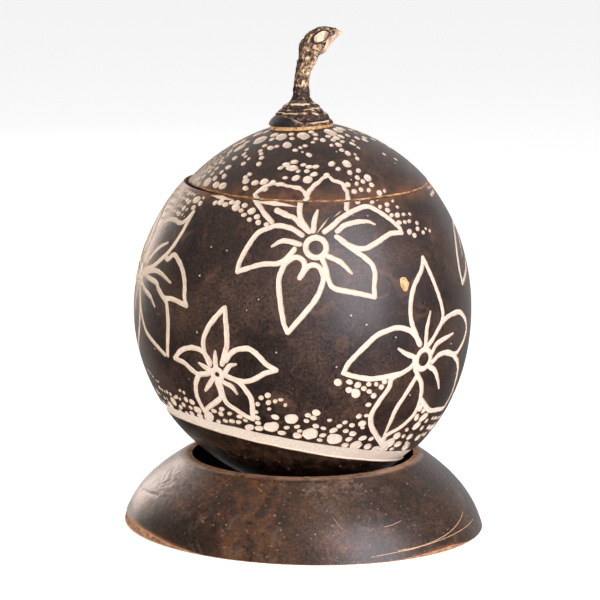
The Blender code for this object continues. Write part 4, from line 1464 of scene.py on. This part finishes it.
# Pale smears of old wax under the front of the lip
smear_turn = add(tree, "ShaderNodeMath", {0: turn, 1: 12.0, 2: 13.0}, operation="COMPARE").outputs[0]
smear_high = add(tree, "ShaderNodeMapRange", {"Value": z, "From Min": 19.5, "From Max": 24.0}).outputs[0]
smears = patches(tree, place, 3.4, 0.48, 0.66, detail=6.0, rough=0.8, stretch=(1, 1, 1.6), warp=0.3)
for mask in (smear_turn, smear_high, 0.6):
    smears = add(tree, "ShaderNodeMath", {0: smears, 1: mask}, operation="MULTIPLY").outputs[0]
colour = add(tree, "ShaderNodeMix", {0: smears, 6: colour, 7: linear("#94796a")}, data_type="RGBA").outputs[2]
# A pale pinkish-grey line along the rolled lip, partly wear and partly a painted highlight along its edge; it turns
# tan at the left
lip_wear_and_highlight = add(tree, "ShaderNodeMapRange", {"Value": z, "From Min": 27.1, "From Max": 27.9}).outputs[0]
wear = patches(tree, place, 6.0, 0.3, 0.55, detail=4.0, rough=0.65)
lip_wear_and_highlight = add(tree, "ShaderNodeMath", {0: lip_wear_and_highlight, 1: wear}, operation="MULTIPLY").outputs[0]
inputs = {"Value": turn, "From Min": -40.0, "From Max": -75.0}
tan_lip = add(tree, "ShaderNodeMapRange", inputs).outputs[0]
inputs = {0: tan_lip, 6: linear("#a98873"), 7: linear("#c08c5e")}
lip_colour = add(tree, "ShaderNodeMix", inputs, data_type="RGBA").outputs[2]
colour = add(tree, "ShaderNodeMix", {0: lip_wear_and_highlight, 6: colour, 7: lip_colour}, data_type="RGBA").outputs[2]
SPOTS = (
    (4.2, 0.36, 0.5, "#b3957b"),
    (5.5, 0.7, 0.4, "#94684a"),
    (3.7, 0.8, 0.5, "#2a1c15"),
    (2.3, 0.4, 0.5, "#87695a"),
)
for apart, wide, share, shade in SPOTS:
    spots = specks(tree, place, apart, wide, share)
    colour = add(tree, "ShaderNodeMix", {0: spots, 6: colour, 7: linear(shade)}, data_type="RGBA").outputs[2]
# Scratches: (turn at each end, height at each end, how much they bow, width), all in degrees and millimetres
SCRATCHES = (
    ((29.5, 65.5), (3.6, 10.2), 2.1, 0.14),
    ((20.5, 71.0), (2.3, 6.0), 0.85, 0.12),
    ((10.2, 12.9), (16.4, 12.4), 1.0, 0.09),
    ((27.0, 34.0), (12.0, 13.3), 1.6, 0.08),
    ((32.0, 44.0), (3.2, 4.6), 1.3, 0.11),
)
scratched = None
for (turn_a, turn_b), (high_a, high_b), bow, wide in SCRATCHES:
    inputs = {"Value": turn, "From Min": turn_a, "From Max": turn_b}
    along = add(tree, "ShaderNodeMapRange", inputs).outputs[0]
    bowed = add(tree, "ShaderNodeMath", {0: along, 1: bow}, operation="POWER").outputs[0]
    inputs = {"Value": bowed, "To Min": high_a, "To Max": high_b}
    line = add(tree, "ShaderNodeMapRange", inputs).outputs[0]
    beside = add(tree, "ShaderNodeMath", {0: z, 1: line}, operation="SUBTRACT").outputs[0]
    beside = add(tree, "ShaderNodeMath", {0: beside}, operation="ABSOLUTE").outputs[0]
    inputs = {"Value": beside, "From Min": 1.6 * wide, "From Max": 0.4 * wide}
    mask = add(tree, "ShaderNodeMapRange", inputs).outputs[0]
    # Nothing past either end, where the share along the scratch is nought or one
    within = add(tree, "ShaderNodeMath", {0: along, 1: 0.5, 2: 0.496}, operation="COMPARE").outputs[0]
    mask = add(tree, "ShaderNodeMath", {0: mask, 1: within}, operation="MULTIPLY").outputs[0]
    if scratched is not None:
        mask = add(tree, "ShaderNodeMath", {0: mask, 1: scratched}, operation="MAXIMUM").outputs[0]
    scratched = mask
skips = patches(tree, place, 1.4, 0.28, 0.42, detail=2.0)
scratched = add(tree, "ShaderNodeMath", {0: scratched, 1: skips}, operation="MULTIPLY").outputs[0]
colour = add(tree, "ShaderNodeMix", {0: scratched, 6: colour, 7: linear("#d8aa80")}, data_type="RGBA").outputs[2]
edge = add(tree, "ShaderNodeAttribute", attribute_name="edge_near").outputs["Fac"]
colour = add(tree, "ShaderNodeMix", {0: edge, 6: colour, 7: linear("#8f6140")}, data_type="RGBA").outputs[2]
tree.links.new(colour, shader.inputs["Base Color"])
dull = patches(tree, place, 1.2, 0.25, 0.75, detail=5.0, rough=0.7)
roughness = add(tree, "ShaderNodeMapRange", {"Value": dull, "To Min": 0.26, "To Max": 0.52}).outputs[0]
tree.links.new(roughness, shader.inputs["Roughness"])
shader.inputs["IOR"].default_value = 1.5
shader.inputs["Coat Weight"].default_value = 0.6
shader.inputs["Coat Roughness"].default_value = 0.3
fine = add(tree, "ShaderNodeBump", {"Strength": 0.9, "Distance": 0.12 * MM, "Height": dull}).outputs[0]
inputs = {"Strength": 0.7, "Distance": 0.15 * MM, "Height": scratched, "Normal": fine}
scored = add(tree, "ShaderNodeBump", inputs, invert=True).outputs[0]
tree.links.new(scored, shader.inputs["Normal"])

# Its sawn lip and foot: brown where hands and wax have darkened them, tan along the edges.
stand_cut, tree, shader = new_material("stand_rind_sawn_handled")
place = in_millimetres(tree)
streaks = patches(tree, place, 3.0, 0.35, 0.65, detail=4.0, rough=0.65, stretch=(1, 1, 2.5))
sawn = add(tree, "ShaderNodeValToRGB", {0: streaks}, ((0.0, "#7a5036"), (0.5, "#a87a58"), (1.0, "#cc9f78")))
edge = add(tree, "ShaderNodeAttribute", attribute_name="edge_near").outputs["Fac"]
inputs = {0: edge, 6: sawn.outputs[0], 7: linear("#b98a5c")}
colour = add(tree, "ShaderNodeMix", inputs, data_type="RGBA").outputs[2]
tree.links.new(colour, shader.inputs["Base Color"])
shader.inputs["Roughness"].default_value = 0.6
grooves = patches(tree, place, 0.6, 0.2, 0.8, detail=3.0)
rough_cut = add(tree, "ShaderNodeBump", {"Strength": 0.5, "Distance": 0.1 * MM, "Height": grooves}).outputs[0]
tree.links.new(rough_cut, shader.inputs["Normal"])

# Its inside: stained almost black with the outside, and never rubbed.
stand_inside, tree, shader = new_material("stand_inside_stained")
place = in_millimetres(tree)
rings = patches(tree, place, 5.0, 0.35, 0.7, detail=5.0, rough=0.65, stretch=(1, 1, 2))
stained = add(tree, "ShaderNodeValToRGB", {0: rings}, ((0.0, "#140c08"), (0.6, "#24150d"), (1.0, "#4a2f1e")))
tree.links.new(stained.outputs[0], shader.inputs["Base Color"])
shader.inputs["Roughness"].default_value = 0.8
strands = patches(tree, place, 1.2, 0.25, 0.75, detail=4.0, rough=0.7)
fibrous = add(tree, "ShaderNodeBump", {"Strength": 0.8, "Distance": 0.2 * MM, "Height": strands}).outputs[0]
tree.links.new(fibrous, shader.inputs["Normal"])
for material in (stand_skin, stand_cut, stand_inside):
    stand.data.materials.append(material)
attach(stand, "root")
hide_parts("ring_stand")

# The studio
# A white lit table, dim in front where the photographer stands and bright behind. A tall cool soft light
# at the right front makes the highlight, one at the left back lights the rims, and one in front fills.
CAMERA_BACK = 1.234
CAMERA_HEIGHT = 0.305
CAMERA_DOWN = math.radians(10.0)
CAMERA_SIDE = -0.0009
LENS = 194.4
CEILING_LOW = 0.12
CEILING_HIGH = 0.3
WALL_BACK = 0.5

floor_mesh = bpy.data.meshes.new("studio_floor")
floor_mesh.from_pydata([(-6, -6, 0), (6, -6, 0), (6, 6, 0), (-6, 6, 0)], [], [(0, 1, 2, 3)])
floor = bpy.data.objects.new("studio_floor", floor_mesh)
bpy.context.scene.collection.objects.link(floor)
paper, tree, shader = new_material("white_paper_matte")
shader.inputs["Base Color"].default_value = linear("#fafafa")
shader.inputs["Roughness"].default_value = 0.9
shader.inputs["Emission Color"].default_value = linear("#ffffff")
# Inside the ring no light reaches it
place = add(tree, "ShaderNodeTexCoord").outputs["Object"]
away = add(tree, "ShaderNodeVectorMath", {0: place}, operation="LENGTH").outputs["Value"]
inputs = {"Value": away, "From Min": 0.062, "From Max": 0.07, "To Min": 0.0, "To Max": 0.62}
lit = add(tree, "ShaderNodeMapRange", inputs).outputs[0]
tree.links.new(lit, shader.inputs["Emission Strength"])
floor_mesh.materials.append(paper)
floor.visible_glossy = False  # the table is too far below the lens to show in the wax

world = bpy.data.worlds.new("studio_surround")
bpy.context.scene.world = world
world.use_nodes = True
tree = world.node_tree
toward = add(tree, "ShaderNodeTexCoord").outputs["Generated"]
right, back, up = add(tree, "ShaderNodeSeparateXYZ", {0: toward}).outputs
inputs = {"Value": up, "From Min": 0.3, "From Max": 0.95, "To Min": CEILING_LOW, "To Max": CEILING_HIGH}
ceiling = add(tree, "ShaderNodeMapRange", inputs, interpolation_type="SMOOTHSTEP").outputs[0]
inputs = {"Value": back, "From Min": 0.3, "From Max": 0.9, "To Min": 0.0, "To Max": WALL_BACK}
behind = add(tree, "ShaderNodeMapRange", inputs, interpolation_type="SMOOTHSTEP").outputs[0]
lit = add(tree, "ShaderNodeMapRange", {"Value": up, "From Min": -0.35, "From Max": 0.05}).outputs[0]
ceiling = add(tree, "ShaderNodeMath", {0: ceiling, 1: lit}, operation="MULTIPLY").outputs[0]
above = add(tree, "ShaderNodeMapRange", {"Value": up, "From Min": -0.6, "From Max": -0.1}).outputs[0]
behind = add(tree, "ShaderNodeMath", {0: behind, 1: above}, operation="MULTIPLY").outputs[0]
glow = add(tree, "ShaderNodeMath", {0: ceiling, 1: behind}, operation="MAXIMUM").outputs[0]
tree.links.new(glow, tree.nodes["Background"].inputs["Strength"])
tree.nodes["Background"].inputs["Color"].default_value = linear("#ffffff")


def softbox(name, place, aim, wide, high, power, colour, shines=True):
    """A rectangular soft light at a place, facing its aim. One that doesn't shine leaves no highlight."""
    light = bpy.data.lights.new(name, "AREA")
    light.shape = "RECTANGLE"
    light.size = wide
    light.size_y = high
    light.energy = power
    light.color = linear(colour)[:3]
    lamp = bpy.data.objects.new(name, light)
    lamp.location = place
    lamp.visible_camera = False
    lamp.visible_glossy = shines
    lamp.rotation_euler = (Vector(aim) - Vector(place)).to_track_quat("-Z", "Y").to_euler()
    bpy.context.scene.collection.objects.link(lamp)


softbox("softbox_right", (0.64, -0.80, 0.5), (0, 0, 0.08), 0.75, 1.25, 16.5, "#ece8f2")
softbox("softbox_left", (-0.62, 1.0, 0.22), (0, 0, 0.08), 0.4, 0.5, 2.3, "#ffe9dc")
softbox("softbox_fill", (-0.9, -1.1, 0.7), (0, 0, 0.08), 0.8, 0.8, 9.8, "#fff6ec", shines=False)

camera = bpy.data.objects.new("camera", bpy.data.cameras.new("camera"))
camera.data.lens = LENS
camera.location = (CAMERA_SIDE, -CAMERA_BACK, CAMERA_HEIGHT)
camera.rotation_euler = (math.radians(90) - CAMERA_DOWN, 0, 0)
bpy.context.scene.collection.objects.link(camera)
bpy.context.scene.camera = camera
bpy.context.scene.view_settings.view_transform = "Standard"
